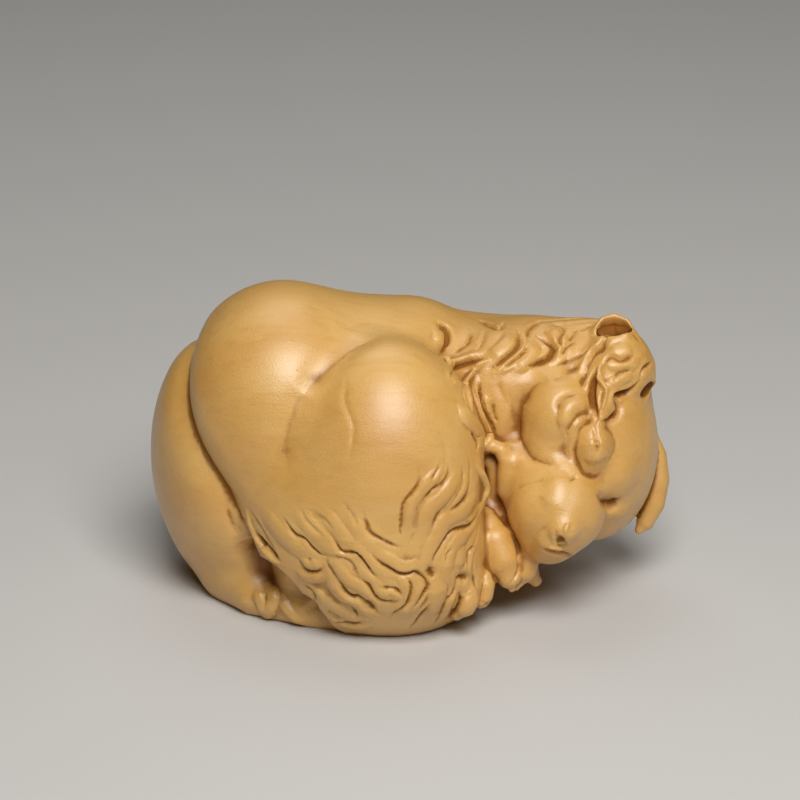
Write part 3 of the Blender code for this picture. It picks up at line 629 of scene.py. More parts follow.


# %% [markdown]
# ## The lines of the carving
#
# The numbers are points across and up the sheet, in units. The first sheet
# lies over the front, seen from 22 degrees above. The points were picked on a
# photograph of the carving, then turned into the sheet's units and rounded;
# those on a straight run were dropped and some widths and depths scaled. A
# small program then turned them into the sheet's units, rounded them, dropped
# those on a straight run and scaled some widths and depths, so the tables are
# its output. Only the hair of the hidden side and of the head's end comes from
# a loop.
#
# The crease in front of the far haunch comes from the masses. The first lines
# are the soft edges of the thigh, the deep edge at the lower left and the line
# round the cheek. The hair starts as faint lines high on the thigh and deepens
# towards the heel, where the locks curl over each other. A lock's edge is a
# groove, and a lobe beside it gives the lock its rounded back.

# %% Strokes
CREASES = [
    cut(
        2.2,
        0.3,
        [(-12.4, 26.2), (-13.9, 24.3), (-14.9, 22.1), (-15.6, 19.6), (-15.7, 17.1), (-15.4, 14.6)],
    ),
    lock(
        1.6,
        2.7,
        [
            (-21.1, 8.4), (-20.1, 6), (-18.9, 3.8), (-16.7, 2.4), (-15.1, 0.9), (-13.8, -0.7),
            (-12.5, -1.6), (-11.7, -3.3), (-10.6, -4.9), (-9, -5.9),
        ],
    ),
    lock(0.5, 0.3, [(-23.6, 10.5), (-22.8, 8.3), (-21.9, 6)]),
    lock(0.5, 0.35, [(-22.4, 8.6), (-21.5, 6.2), (-20.7, 3.6)]),
    lobe(0.8, 0.4, [(-19.8, -0.3), (-19.3, -2.2), (-18.7, -4.2)]),
    lobe(0.9, 0.5, [(-18.4, -0), (-17.6, -1.5), (-18.9, -4.7)]),
    lobe(0.8, 0.4, [(-16.8, -1), (-16.1, -2.5), (-15, -4), (-13.4, -4.9)]),
    cut(2.4, 0.6, [(-3.2, 32.6), (-5.8, 31.6), (-8.3, 30.1), (-12.4, 26.2), (-13.9, 24.3)]),
    cut(0.5, 0.16, [(-8.1, 27.5), (-8.1, 25.5), (-8.3, 24), (-7.2, 21), (-7.2, 19.3), (-7.7, 16)]),
    cut(0.6, 0.12, [(4, 19.5), (4.5, 17.5), (4.5, 15.5)]),
    cut(1, 0.8, [(3.6, 34.1), (4.5, 33.1), (4.9, 31.8), (4.5, 30.7), (3.7, 29.7)]),
    cut(
        1.2,
        0.9,
        [
            (17.6, 26.7), (16.1, 26.1), (15.1, 25.2), (14.4, 24.1), (13.9, 23), (13.6, 20),
            (14, 18.7), (14.7, 17.6), (15.6, 16.7), (18, 15.8), (18.7, 15),
        ],
    ),
    cut(1.2, 0.35, [(17.6, 26.7), (19.5, 27.2), (20.9, 28), (21.8, 28.8)]),
]
FUR = [
    lobe(1, 0.32, [(3.8, 16.2), (3, 14.5), (0.3, 11.5), (-0.4, 9.7), (-0.7, 7)]),
    lobe(1.1, 0.35, [(6, 15.5), (5.4, 13.5), (4.1, 11.8), (2.7, 10.6), (2, 9), (1.5, 6.2)]),
    lobe(0.8, 0.24, [(6.9, 15.2), (6.8, 13.3), (5.9, 11.7), (4.6, 10.6)]),
    lobe(1.2, 0.35, [(8.2, 13.6), (8, 11.6), (6.7, 10), (5.1, 9.2), (4, 8.2), (2.2, 4.4), (1.8, 2.8)]),
    lobe(1, 0.32, [(8.2, 8), (6.8, 6.9), (5.6, 5.7), (4.9, 4.1), (4.6, 2.5), (4.8, 1.2)]),
    lobe(0.9, 0.35, [(6.5, 5.7), (6.3, 4), (6.1, 2.5)]),
    lobe(0.8, 0.28, [(8.1, 5.9), (7.6, 4.2), (7.4, 2.4), (7.6, 0.6)]),
    lobe(1.4, 0.59, [(3.2, 1.3), (3.4, -0.5), (2.9, -2.1), (2, -3.6)]),
    lobe(0.8, 0.45, [(5.3, 0.1), (5.1, -1.4), (3.7, -4.5)]),
    lobe(1.6, 0.63, [(6.8, 0.9), (7.4, -0.7), (7.1, -2.2), (6, -3.9)]),
    lobe(1.2, 0.49, [(9, 2.6), (9.6, 0.7), (9.7, -1.1), (9, -2.7)]),
    lobe(1.2, 0.42, [(1.3, 1.1), (1.1, -0.5), (-1, -3.7)]),
    lobe(1.3, 0.21, [(-18.8, 10.3), (-17.1, 7.9), (-15.2, 5.9), (-13.3, 4.3)]),
    lobe(1.3, 0.24, [(-14.4, 9.9), (-10.9, 6.3), (-9.1, 5), (-7.6, 4.4)]),
    lobe(1.1, 0.24, [(-11.1, 10.5), (-8.2, 6.7), (-6.6, 5.7)]),
    lobe(1.1, 0.24, [(-7.6, 9.6), (-5.3, 5.8), (-4.1, 4.4)]),
    lobe(1.1, 0.32, [(-8.3, 6.3), (-6.8, 5.6), (-5.6, 4.4), (-4.3, 2.9), (-3.4, 1.4)]),
    lobe(1.1, 0.32, [(-4.4, 5.2), (-2.8, 3.9), (-1.3, 3.1), (0.5, 3.1), (1.9, 2.6)]),
    lobe(1, 0.32, [(-9.7, 3.9), (-8.7, 2.3), (-7.6, 1.1), (-6.1, 0.3), (-4.1, -2)]),
    lobe(0.9, 0.28, [(-6.3, 2.4), (-4.8, 1.4), (-4.1, 0.1), (-2.8, -0.6), (-1.6, -0.7)]),
    lobe(0.7, 0.28, [(-3.4, 0.1), (-2.3, -0.2), (-1.7, -0.9), (-1.8, -1.6)]),
    lobe(1.1, 0.39, [(-10.4, 1.9), (-9.4, 0.2), (-8.3, -0.9), (-6.7, -1.7), (-4.6, -3.9)]),
    lobe(1.1, 0.39, [(-11.7, -0.4), (-10.4, -1.8), (-8.9, -2.7), (-7.4, -3.5), (-5.6, -4)]),
    lobe(0.9, 0.35, [(-13.9, 3.8), (-12.6, 3.1), (-11.1, 3.6)]),
    lobe(0.9, 0.32, [(-14.5, 2.4), (-12.8, 1.6), (-10.8, 1.6)]),
    lobe(0.8, 0.35, [(-12.5, -0.1), (-11.5, -0.6), (-11, -1.8), (-11.1, -3.3)]),
    lobe(0.7, 0.35, [(-10.8, -3.4), (-9, -4.4), (-6.8, -4.9), (-4.9, -4.6)]),
    lobe(0.5, 0.35, [(-21, 10.2), (-20.3, 7.9), (-19, 5.3), (-17.5, 3.7), (-16, 3.1)]),
    lobe(1.1, 0.35, [(-1.6, 2), (-0.5, 0.9), (-0.4, -0.5), (-1, -2), (-2.1, -3.3)]),
    lock(0.29, 0.48, [(-16, 9.2), (-14.6, 7.3), (-13.3, 6.6), (-12.3, 5.5), (-11.3, 4.7), (-10.2, 4.5)]),
    lock(0.28, 0.24, [(-10.6, 4.5), (-8.8, 4.3), (-7.3, 3.5), (-6.3, 1.3)]),
    lock(0.29, 0.44, [(-9.8, 7.1), (-8.6, 5.2), (-7.3, 5), (-6.3, 4.5), (-4.1, 1.5)]),
    lock(0.29, 0.41, [(-5.9, 10), (-5.4, 8.6), (-4.7, 7.3), (-1.9, 5.8), (-1, 5.6)]),
    lock(
        0.32,
        0.51,
        [
            (-4.8, 4.9), (-4.2, 4.1), (-1.9, 2.6), (-0.7, 2.2), (0.6, 2.5), (1.5, 1.9), (2, 1.3),
            (2.1, 0.2), (0.1, -2.6),
        ],
    ),
    lock(0.35, 0.61, [(-8.9, 1.5), (-8.3, 0.2), (-7.4, -0.6), (-6.2, -0.9), (-3.6, -3.3)]),
    cut(0.7, 0.6, [(-6, -1.2), (-5.2, -1.9), (-4.5, -2.8)]),
    lock(0.29, 0.41, [(-6.3, 1.3), (-5.3, 1), (-4.1, -0.9), (-2.8, -1.3), (-1.7, -1.3)]),
    lock(
        0.29,
        0.41,
        [(-1, 2), (-0.3, 1.4), (-0, 0.4), (-0.3, -0.9), (-0.7, -1.7), (-2.2, -3), (-2.8, -4)],
    ),
    lock(0.27, 0.31, [(-3.9, 0.5), (-2.2, 0.4), (-1.4, 0), (-1, -0.6)]),
    lock(0.32, 0.48, [(-8.8, -1.5), (-7.3, -2.2), (-6.5, -3.6)]),
    lock(0.27, 0.24, [(-10.4, 4.4), (-10.3, 3.3), (-8.9, 1.4)]),
    lock(0.32, 0.15, [(-12.9, 10.3), (-10.7, 9.1), (-9.6, 7.7)]),
    lock(0.32, 0.14, [(-8.6, 11.5), (-6.9, 9.2), (-6.7, 8.1)]),
    lock(0.32, 0.14, [(-14, 10.8), (-12.9, 8.9), (-10.6, 6.7)]),
    lock(0.29, 0.34, [(-14.3, 4.2), (-13.2, 2.9), (-12, 2.5), (-10.9, 2.9)]),
    lock(0.29, 0.31, [(-10.3, -4.2), (-7, -4.3), (-6.1, -3.8)]),
    lock(0.28, 0.34, [(-13.8, 0.7), (-12.5, -0.1), (-12, -1.1), (-12.6, -2)]),
    slit(0.56, 0.61, [(-19.9, 7.3), (-17.7, 4.8), (-16.5, 3.4)]),
    lock(0.28, 0.24, [(-20.8, 10.4), (-19.5, 8.8), (-16.5, 3.7)]),
    lock(0.32, 0.41, [(1.2, 15.3), (0.8, 13.4), (-0.9, 11.1), (-1.3, 8.1), (-1.2, 6.4)]),
    lock(0.29, 0.34, [(4.8, 16.4), (4.7, 14.9), (4, 13.7), (2.8, 13), (1.8, 11.9), (1.3, 10.9)]),
    lock(0.27, 0.2, [(6.5, 16.1), (6.5, 13.9), (6, 12.4), (4.6, 10.4)]),
    lock(0.32, 0.41, [(7.3, 17), (7.5, 14.9), (7, 12), (4.6, 9.8)]),
    lock(0.28, 0.31, [(3.9, 10.3), (3.1, 9.3), (2.7, 8.1)]),
    lock(0.32, 0.54, [(8.8, 10), (8.2, 9), (7.3, 8.2), (5.1, 7.5), (3, 4.5), (2.9, 3.3)]),
    lock(0.28, 0.37, [(8.8, 9), (8.5, 7.1), (8, 5.6), (7.3, 4.7), (7.1, 2.1)]),
    lock(0.28, 0.34, [(8.6, 5.1), (8, 3.9), (7.9, 2.4), (8, 0.8), (8.5, -0.7), (8.7, -1.9), (8.5, -3.3)]),
    lock(0.24, 0.2, [(5.3, 5.7), (4.5, 4.6), (4.3, 3.3)]),
    lock(0.24, 0.17, [(0.7, 7.7), (0.1, 6.8), (0.1, 5.8)]),
    cut(0.7, 0.8, [(2.4, 3.1), (2.6, 2.3), (3, 1.5)]),
    cut(0.7, 0.8, [(5.7, 1.4), (6.5, 1.5), (7.4, 1.4)]),
    lock(0.29, 0.44, [(5.7, 2.5), (5.8, 0.9), (5.3, -0.4), (4.5, -1.2), (4, -2.1), (3.9, -3.3)]),
    lock(0.29, 0.48, [(6.2, -0.4), (6, -1.8), (4.5, -4.5)]),
    lock(0.29, 0.41, [(4, -2.4), (3.6, -3.6), (2.9, -4.7)]),
    lock(0.32, 0.51, [(2.3, -1.7), (0.7, -4.1), (-0, -5.2)]),
    lock(0.29, 0.41, [(10.2, -1.4), (9.2, -2.7), (8.5, -3.7)]),
    lock(0.28, 0.27, [(3.7, 16.3), (3.3, 15.3), (2.4, 14)]),
]
MANE_HAIR = [
    lobe(1.3, 0.5, [(17.5, 33.7), (18.9, 32.5), (19.3, 31), (18.8, 29.6), (17.4, 28.6)]),
    lobe(1.2, 0.5, [(14.5, 32.3), (14.3, 31), (13.5, 29.7), (10.9, 27.6)]),
    lobe(1.2, 0.45, [(15.6, 31.8), (15.6, 30.2), (14.6, 28.9), (13.1, 27.9)]),
    lobe(1.2, 0.45, [(12.7, 32.8), (12.6, 31.5), (11.5, 30.3), (10, 29.4)]),
    lobe(1.3, 0.45, [(3.4, 33.1), (4, 32), (3.6, 30.8)]),
    ridge(0.75, 0.6, [(3.3, 29.6), (4.6, 29.3), (5.4, 28.8), (9.5, 30.2)]),
    ridge(0.6, 0.6, [(10.8, 29.4), (8.6, 28.3), (7.3, 26.7), (7.1, 25.5), (8, 21.7)]),
    ridge(0.8, 0.75, [(8.5, 27), (8.6, 24.1), (10.2, 19.8), (10, 18.8), (9.5, 18)]),
    ridge(0.5, 0.5, [(9.6, 24.5), (9.9, 23.1), (10.3, 22)]),
    lobe(1.4, 0.6, [(6.3, 24), (7, 22.1), (8.2, 20.8), (8.9, 19.6), (8.7, 17.9)]),
    lock(0.43, 1.02, [(16.3, 32.3), (18, 31), (18.2, 30.5), (17.9, 29.8), (17.3, 29.3), (15.1, 28.3)]),
    lock(0.35, 0.51, [(16.9, 34.4), (15.6, 33.5), (15.1, 32.7), (15.2, 31.8)]),
    lock(0.39, 0.77, [(13.8, 33.3), (13.9, 32.2), (13.7, 31.1), (13, 30.2), (11, 28.6), (10, 28.1)]),
    lock(0.33, 0.38, [(14.8, 31.2), (14.5, 30.2), (12.8, 28.8), (11.4, 28)]),
    lock(0.35, 0.64, [(9, 34.5), (11.2, 33.4), (11.7, 33.6), (12.1, 34.2)]),
    lock(0.47, 0.51, [(3.6, 34.1), (4.7, 33.1), (4.9, 31.9), (4.6, 31), (4, 30.1)]),
    lock(0.35, 0.34, [(7.8, 33.4), (7.6, 31.9), (7, 31.1), (5.3, 29.8)]),
    lock(0.33, 0.26, [(9.5, 33.1), (9.3, 31.9), (8.6, 30.3)]),
    lock(0.39, 0.85, [(9.5, 29.5), (5.9, 28.4), (5.3, 27.7), (5.2, 26.9), (5.5, 26.2), (6.3, 25.5)]),
    slit(0.31, 0.34, [(9, 28.3), (8, 27.9), (6.9, 26.7), (6.7, 25.5), (6.9, 24), (7.4, 22.5)]),
    slit(0.35, 0.51, [(8.8, 26.5), (8.9, 24.5), (9.2, 22.9), (10.5, 20.8), (10.7, 20), (10.4, 19.1)]),
    slit(0.31, 0.3, [(10.6, 23.9), (10.8, 22.3), (11.2, 20.9)]),
    cut(0.6, 0.25, [(11.3, 26.8), (11.5, 25.3), (12.2, 23.8), (12.3, 22.5)]),
    cut(0.6, 0.22, [(12.4, 25.6), (13.2, 22.3), (13.4, 20.8)]),
    slit(0.35, 0.51, [(7.6, 20.2), (8.5, 18.6), (8.3, 17.6)]),
    lock(0.35, 0.34, [(19.5, 34.1), (19.9, 32.8), (19.3, 31.5), (20.1, 30.6)]),
    lock(0.33, 0.3, [(21.6, 33.6), (20.9, 32.4), (20.1, 31.2)]),
    cut(0.5, 0.3, [(21.3, 31.8), (20.1, 30.7), (19.3, 29.4)]),
    lock(0.33, 0.26, [(23.1, 31), (21.9, 29.7), (18.7, 28.4)]),
    ridge(0.5, 0.35, [(17.3, 28.4), (18.2, 28.9), (19, 29.3)]),
    cut(0.5, 0.25, [(23.5, 33.8), (22.4, 33.3), (21.5, 32.9)]),
]
FACE = [
    lobe(1.2, 0.6, [(23.3, 23.8), (21.6, 23.6), (20.3, 22.9), (19.8, 21.5), (19.7, 19.8)]),
    ridge(2.3, 0.45, [(23.2, 19.4), (23.5, 17.6), (23.6, 15.8)]),
    lobe(0.8, 0.35, [(23.2, 21.8), (21.9, 21.5), (21, 20.7), (20.5, 19.3), (20.4, 17.6), (20.9, 16)]),
    cut(0.55, 0.35, [(21.7, 25), (19.7, 24.3), (18.9, 23.5), (18.8, 22)]),
    cut(0.4, 0.2, [(23.2, 22.4), (21.8, 22), (20.6, 21.2), (20.1, 19.9), (20, 18.1)]),
    slit(0.4, 0.3, [(21.5, 19.9), (20.9, 17.6), (21.3, 16), (22.2, 14.6), (23.6, 14.2), (24.7, 15.2)]),
    slit(0.4, 0.16, [(24.7, 15.2), (25.7, 16.7), (26.1, 18.3), (25.7, 19.8), (24.8, 20.9)]),
    slit(0.35, 0.25, [(23.2, 21.3), (23.7, 18.5), (23.7, 17)]),
    slit(0.35, 0.3, [(20.2, 13.6), (20.7, 14), (21.4, 14.3)]),
    cut(1, 0.9, [(23.7, 12.1), (25.5, 10.7), (26.4, 10.9), (27.1, 11.5)]),
    ridge(2, 0.3, [(24.8, 9.6), (26.9, 9.3), (28.8, 10)]),
    slit(0.5, 0.8, [(16.6, 5), (19.7, 4.3), (21.3, 3.7)]),
    lobe(0.6, 0.3, [(17.3, 5), (18.3, 4.9), (19.4, 4.7)]),
    slit(0.35, 0.3, [(18.4, 7.5), (18.3, 6.5)]),
    ridge(2.4, 0.35, [(18.1, 15.1), (18.5, 13.3), (18, 11.3), (17.1, 10)]),
    slit(0.35, 0.45, [(13.2, 7.1), (13.7, 5.4), (13.9, 2.5), (13.5, 1.3), (12.6, 0.2)]),
    lobe(0.5, 0.45, [(8.5, 15.9), (9.7, 13.2), (9.6, 11.9), (9, 10.7)]),
    ridge(0.5, 0.3, [(20.3, 8.5), (19.7, 7.8), (19.7, 6.9)]),
]
EAR = [
    lock(0.6, 1.1, [(25.2, 32.6), (24.4, 30.8), (23.4, 30.1), (22.3, 28.3), (21.9, 26.3), (22.1, 25.5)]),
    slit(0.5, 1, [(23.8, 28.2), (23.3, 25.8), (23.3, 23.8), (23.7, 21.8), (23.4, 21)]),
    ridge(0.5, 0.6, [(24.1, 28.4), (23.9, 27.2), (24.7, 25.8), (24.9, 24.9), (23.6, 21.3)]),
    slit(0.35, 0.4, [(24.6, 25.4), (24.4, 24.1), (23.6, 21.6)]),
    slit(0.4, 0.45, [(24.3, 28.1), (25.3, 29.3), (26, 29.4), (26.6, 29.1), (27.4, 29.1), (29.1, 29.9)]),
    lock(
        0.5,
        1,
        [
            (24.3, 21.2), (25.5, 21.8), (26.4, 22.7), (26.1, 24.1), (26.4, 24.7), (28.1, 25.3),
            (29.5, 26.5),
        ],
    ),
    lock(0.42, 0.7, [(29.5, 26.6), (29.9, 28), (31.2, 29)]),
    slit(0.4, 0.25, [(25.9, 26.4), (26.5, 27.3), (28.4, 28)]),
    slit(0.4, 0.2, [(24.9, 31.3), (25.9, 31.3), (27.2, 31.6)]),
    ridge(0.5, 0.4, [(24.4, 31.1), (24.9, 31.7), (25.5, 32.2)]),
    lobe(1, 0.3, [(25.3, 30.2), (26.9, 30.3), (28.5, 30.8)]),
    lobe(0.9, 0.35, [(24.9, 27.3), (25.4, 28.4), (28.2, 28.6), (29.5, 29.3)]),
    lobe(0.9, 0.35, [(25.2, 25.3), (25.8, 26.1), (27.1, 26.7), (28.6, 27.1)]),
    cut(0.5, 0.2, [(28.6, 33), (29.1, 32.1), (29.7, 31.4)]),
    ridge(0.6, 0.35, [(25.6, 21.5), (26.6, 22.5), (26.8, 23.8), (27.5, 24.5), (29, 25.2)]),
]
# Lines drawn on the hidden side and on the head's end, which are plainer
BACK = tresses(7, (-27.5, 28), (-24, 13), (2.7, -0.5), 1.3)
BACK += tresses(6, (-28, 17), (-24, 6.5), (3.1, 0), 0.9)
BACK += tresses(7, (10, 5), (7.5, -3.5), (2.8, 0.2), 0.7)
HEAD_END = tresses(4, (2.5, 30), (4.5, 16), (2.3, -1.1), 1.0)

# %% Draw them
FRONT = paper(0, 22)
draw(dog, CREASES, FRONT)
draw(dog, FUR + MANE_HAIR, FRONT)
draw(dog, FACE + EAR, FRONT)
draw(dog, BACK, paper(180, 15))
draw(dog, HEAD_END, paper(90, 15))

# %% [markdown]
# ## Level the underside and thin the mesh
#
# The figure rests on a sawn face. A Boolean with a block below the table cuts
# it level. The mesh is far finer than it needs to be on the smooth thigh, so a
# Decimate modifier spends its triangles on the hair and the face instead. It
# can leave a point a hair below the table, so heights are held at zero last.

# %% Saw and thin
LIMIT = 190000


def level_underside(obj):
    bm = bmesh.new()
    depth = 10 * UNIT
    size = Matrix.Diagonal((3 * LENGTH, 3 * LENGTH, depth, 1))
    bmesh.ops.create_cube(bm, size=1, matrix=Matrix.Translation((0, 0, -depth / 2)) @ size)
    block = object_of(bm, "waste_below_the_table")
    saw = obj.modifiers.new("saw", "BOOLEAN")
    saw.operation = "DIFFERENCE"
    saw.solver = "MANIFOLD"
    saw.object = block
    settle(obj)
    bpy.data.objects.remove(block, do_unlink=True)


def thin_out(obj, triangles):
    count = sum(len(face.vertices) - 2 for face in obj.data.polygons)
    if count <= triangles:
        return
    decimate = obj.modifiers.new("thin out", "DECIMATE")
    decimate.ratio = triangles / count
    decimate.use_collapse_triangulate = True
    settle(obj)


level_underside(dog)
thin_out(dog, LIMIT)
on_table = points_of(dog.data)
on_table[:, 2] = np.maximum(on_table[:, 2], 0)
move_to(dog.data, on_table)
dog.data.transform(Matrix.Translation(-MIDDLE * UNIT))
print(len(dog.data.polygons), "faces after thinning")

# %% [markdown]
# ## How deep each spot lies
#
# Dust and stain gather in hollows and are rubbed off ridges, which is why old
# boxwood is dark in its cuts. The shader paints that, and also paints the shade
# that falls in the hollows, as a darker colour, so it needs a number for how deep
# each spot lies. Smoothing a copy of the surface and measuring how far each point
# lies below or above it gives one, kept as 0 on a ridge, a half on the flat and
# 1 in a hollow. Two smoothings of different width catch the fine cuts, which get
# the stain together with painted shade, and the broad hollows, which get painted
# shade alone.

# %% Measure the hollows
def edges_of(mesh):
    ends = np.empty(len(mesh.edges) * 2, np.int32)
    mesh.edges.foreach_get("vertices", ends)
    return ends.reshape(-1, 2)


def smoothed(values, ends, rounds):
    count = np.bincount(ends.ravel(), minlength=len(values))[:, None]
    for _ in range(rounds):
        total = np.zeros_like(values)
        for k in range(values.shape[1]):
            total[:, k] = np.bincount(ends[:, 0], values[ends[:, 1], k], len(values))
            total[:, k] += np.bincount(ends[:, 1], values[ends[:, 0], k], len(values))
        values = 0.5 * values + 0.5 * total / count
    return values


def hollow(mesh, rounds, full):
    """0 on a ridge, 0.5 on the flat and 1 in a hollow that is this many units deep."""
    ends = edges_of(mesh)
    points = points_of(mesh) / UNIT
    below = ((smoothed(points, ends, rounds) - points) * normals_of(mesh)).sum(axis=1)
    below = smoothed(below[:, None], ends, 2)[:, 0]
    return np.clip(0.5 + 0.5 * below / full, 0, 1)


def keep_on_points(mesh, name, values):
    attribute = mesh.attributes.new(name, "FLOAT", "POINT")
    attribute.data.foreach_set("value", values.astype(np.float32))


fine = hollow(dog.data, rounds=12, full=0.10)
broad = hollow(dog.data, rounds=160, full=0.7)
keep_on_points(dog.data, "fine_hollow", fine)
keep_on_points(dog.data, "broad_hollow", broad)
print("share of points in fine hollows:", round(float((fine > 0.7).mean()), 3))
print("share of points in broad hollows:", round(float((broad > 0.7).mean()), 3))

# %% [markdown]
# ## Waxed boxwood
#
# Boxwood is one of the densest woods of Europe: pale yellow when cut, ochre
# after years of light and wax, with a grain so fine that it hardly shows. Its
# pores are too small to see one by one. What the eye reads is a satin skin of
# polished wax, faint streaks along the grain, warm patches where the wax sank
# in deeper, and orange-brown cuts. A polishing cloth doesn't reach into a cut,
# so gloss and wax fall off there. The grain is drawn along the figure's
# length, which is a guess at how the block was laid.

# %% Small helpers for the shader
def from_hex(text):
    """A colour as seen, written in hex, as the linear values that the shader works with."""
    seen = [int(text[i : i + 2], 16) / 255 for i in (0, 2, 4)]
    return [v / 12.92 if v <= 0.04045 else ((v + 0.055) / 1.055) ** 2.4 for v in seen] + [1.0]


def node(tree, kind, settings=None, links=None):
    """Adds a node. Settings go to its properties or sockets, links join outputs to its sockets."""
    made = tree.nodes.new(kind)
    for key, value in (settings or {}).items():
        if isinstance(key, str) and hasattr(made, key):
            setattr(made, key, value)
        else:
            made.inputs[key].default_value = value
    for key, source in (links or {}).items():
        tree.links.new(source, made.inputs[key])
    return made


# %% The wood's colours
HEART = from_hex("D6A252")
PALE = from_hex("E0B56C")
TOAST = from_hex("C2853A")
# Painted shade: the colour that the broad hollows are darkened towards
PAINTED_SHADE = from_hex("A2651F")
# Partly the stain that the real wood has in its cuts and partly painted shade: the colour that the fine cuts
# are darkened towards
STAIN_AND_SHADOW_IN_CUTS = from_hex("74400E")
print("heart of the wood, linear:", [round(v, 3) for v in HEART])

# %% The material
material = bpy.data.materials.new("waxed_boxwood")
material.use_nodes = True
wood = material.node_tree
shader = wood.nodes["Principled BSDF"]

where = node(wood, "ShaderNodeTexCoord").outputs["Object"]
fine_cut = node(wood, "ShaderNodeAttribute", {"attribute_name": "fine_hollow"}).outputs["Fac"]
broad_dip = node(wood, "ShaderNodeAttribute", {"attribute_name": "broad_hollow"}).outputs["Fac"]


def per_mm(count):
    """The noise scale that gives about this many spots in a millimetre of wood."""
    return count / MM


def noise_at(vector, scale, detail, roughness):
    settings = {"Scale": scale, "Detail": detail, "Roughness": roughness}
    return node(wood, "ShaderNodeTexNoise", settings, {"Vector": vector}).outputs["Fac"]


def part_of(value, low, high, most, least=0.0):
    settings = {"From Min": low, "From Max": high, "To Min": least, "To Max": most}
    return node(wood, "ShaderNodeMapRange", settings, {"Value": value}).outputs[0]


def blended(share, under, over):
    links = {0: share, 6: under}
    return node(wood, "ShaderNodeMix", {"data_type": "RGBA", 7: over}, links).outputs[2]


# The grain is turned a little from the figure's length, and its marks are drawn out along it
grain_turn = {"Rotation": (0, math.radians(14), math.radians(6)), "Scale": (0.09, 1, 1)}
along_grain = node(wood, "ShaderNodeMapping", grain_turn, {"Vector": where}).outputs[0]
# Streaks are about 1.1 mm apart, bands of tone about 7 mm and patches of wax about 14 mm
streaks = noise_at(along_grain, per_mm(0.9), 4, 0.6)
bands = noise_at(along_grain, per_mm(0.15), 3, 0.5)
patches = noise_at(where, per_mm(0.07), 3, 0.55)
heart = node(wood, "ShaderNodeRGB")
heart.outputs[0].default_value = HEART
tone = blended(part_of(bands, 0.35, 0.65, 0.55), heart.outputs[0], PALE)
tone = blended(part_of(patches, 0.48, 0.75, 0.45), tone, TOAST)
tone = blended(part_of(streaks, 0.5, 0.72, 0.3), tone, TOAST)
# Painted shade: the broad hollows are darkened towards the painted shade colour
tone = blended(part_of(broad_dip, 0.52, 0.95, 0.75), tone, PAINTED_SHADE)
# The fine cuts are darkened towards a colour that is partly real stain and partly painted shade
DEEPEST = 0.7  # share of the recess colour in the deepest cut
in_cut = part_of(fine_cut, 0.62, 1.0, DEEPEST)
tone = blended(in_cut, tone, STAIN_AND_SHADOW_IN_CUTS)
wood.links.new(tone, shader.inputs["Base Color"])

# Roughness of well polished and of duller wood, and how much rougher a full cut would be
POLISHED = 0.36
DULLER = 0.48
CUT_ROUGHER = 0.25
# Gloss and wax coat: first in the deepest cut, then on open wood
GLOSS_ENDS = (0.1, 0.5)
WAX_ENDS = (0, 0.7)
polish = part_of(patches, 0, 1, DULLER, POLISHED)
links = {0: in_cut, 2: polish}
dusty = node(wood, "ShaderNodeMath", {"operation": "MULTIPLY_ADD", 1: CUT_ROUGHER}, links)
wood.links.new(dusty.outputs[0], shader.inputs["Roughness"])
wood.links.new(part_of(in_cut, 0, DEEPEST, *GLOSS_ENDS), shader.inputs["Specular IOR Level"])
wood.links.new(part_of(in_cut, 0, DEEPEST, *WAX_ENDS), shader.inputs["Coat Weight"])
shader.inputs["IOR"].default_value = 1.5
shader.inputs["Coat Roughness"].default_value = POLISHED

# %% Its surface
# Real pores are a few hundredths of a millimetre wide, too fine to show in the render, so they are
# drawn as coarse as they need to show, at about a quarter of a millimetre
stipple = noise_at(where, per_mm(4.2), 2, 0.6)
settings = {"Strength": 0.4, "Distance": 0.2 * MM}
small = node(wood, "ShaderNodeBump", settings, {"Height": stipple}).outputs[0]
settings = {"Strength": 0.18, "Distance": 0.3 * MM}
scraped = node(wood, "ShaderNodeBump", settings, {"Height": streaks, "Normal": small})
wood.links.new(scraped.outputs[0], shader.inputs["Normal"])
dog.data.materials.clear()
dog.data.materials.append(material)
dog.data.shade_smooth()
print(len(wood.nodes), "nodes in the boxwood")

# %% [markdown]
# ## Put the carving in place of the block
#
# The block stays in the file for MuJoCo, and the carving is shown instead.

# %% Ride and replace
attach(dog, "root")
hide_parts("boxwood_dog_carving")

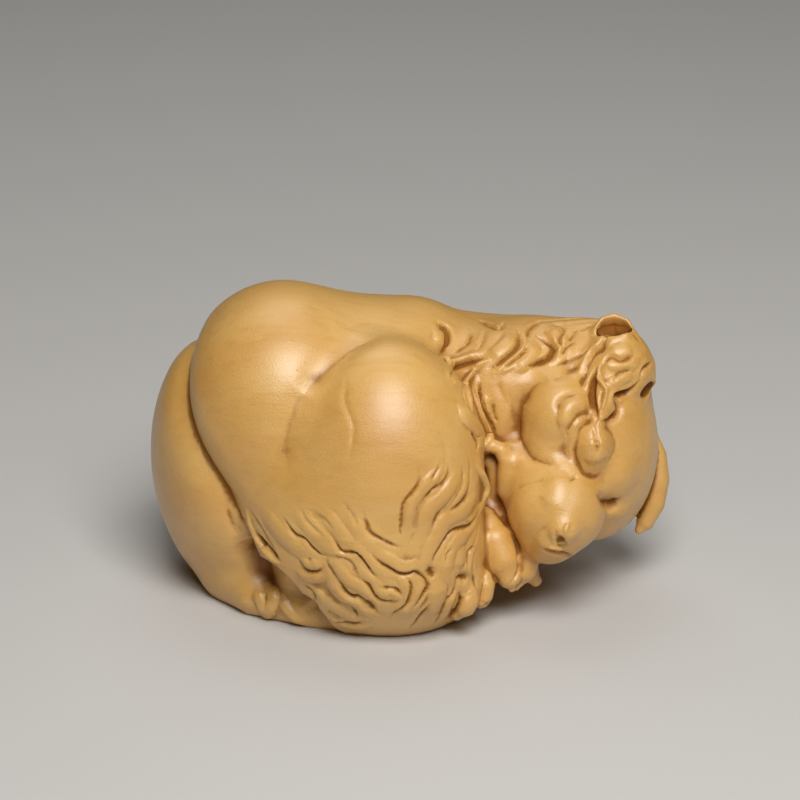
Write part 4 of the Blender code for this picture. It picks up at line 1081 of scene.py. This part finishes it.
# %% [markdown]
# ## Floor, light and camera
#
# A plain pale floor and three soft lights. The main light hangs high in front
# and a little to the right, as in the picture that this follows, so that every
# lock casts a small shadow down and to the left and the wax shines on the
# rounded masses. A weak light on the right and one behind keep the outline
# clear of the floor. The camera looks down at 22 degrees from the front, an
# angle that was judged.

# %% Floor
floor_mesh = bmesh.new()
bmesh.ops.create_grid(floor_mesh, x_segments=1, y_segments=1, size=1.5)
floor = object_of(floor_mesh, "floor")
paint = bpy.data.materials.new("matt_floor_paint")
paint.use_nodes = True
paint.node_tree.nodes["Principled BSDF"].inputs["Base Color"].default_value = from_hex("C8C5C0")
paint.node_tree.nodes["Principled BSDF"].inputs["Roughness"].default_value = 0.85
floor.data.materials.append(paint)


# %% Lights
def soft_light(name, place, size, watts, aim=(0, 0, 0.018)):
    data = bpy.data.lights.new(name, "AREA")
    data.size = size
    data.energy = watts
    light = bpy.data.objects.new(name, data)
    light.location = place
    light.rotation_mode = "QUATERNION"
    light.rotation_quaternion = (Vector(aim) - Vector(place)).to_track_quat("-Z", "Y")
    bpy.context.scene.collection.objects.link(light)


soft_light("main", (0.06, -0.28, 0.40), 0.26, 2.4)
soft_light("fill", (0.45, -0.30, 0.15), 0.3, 0.05)
soft_light("behind", (-0.02, 0.25, 0.50), 0.3, 0.5)
world = bpy.data.worlds.new("studio")
world.use_nodes = True
world.node_tree.nodes["Background"].inputs["Color"].default_value = (1, 0.96, 0.9, 1)
world.node_tree.nodes["Background"].inputs["Strength"].default_value = 0.02
bpy.context.scene.world = world
bpy.context.scene.view_settings.view_transform = "Standard"

# %% Camera
ELEVATION = math.radians(22)
DISTANCE = 0.45
# The spot that the camera looks at, near the middle of the figure
AIM = Vector((-0.0013, 0, 0.0259)) - MIDDLE * UNIT
towards = Vector((0, -math.cos(ELEVATION), math.sin(ELEVATION)))
lens = bpy.data.cameras.new("camera")
lens.lens = 155.8
lens.clip_start = 0.01
camera = bpy.data.objects.new("camera", lens)
camera.location = AIM + towards * DISTANCE
camera.rotation_mode = "QUATERNION"
camera.rotation_quaternion = (-towards).to_track_quat("-Z", "Y")
bpy.context.scene.collection.objects.link(camera)
bpy.context.scene.camera = camera
print("camera at", [round(v, 3) for v in camera.location])
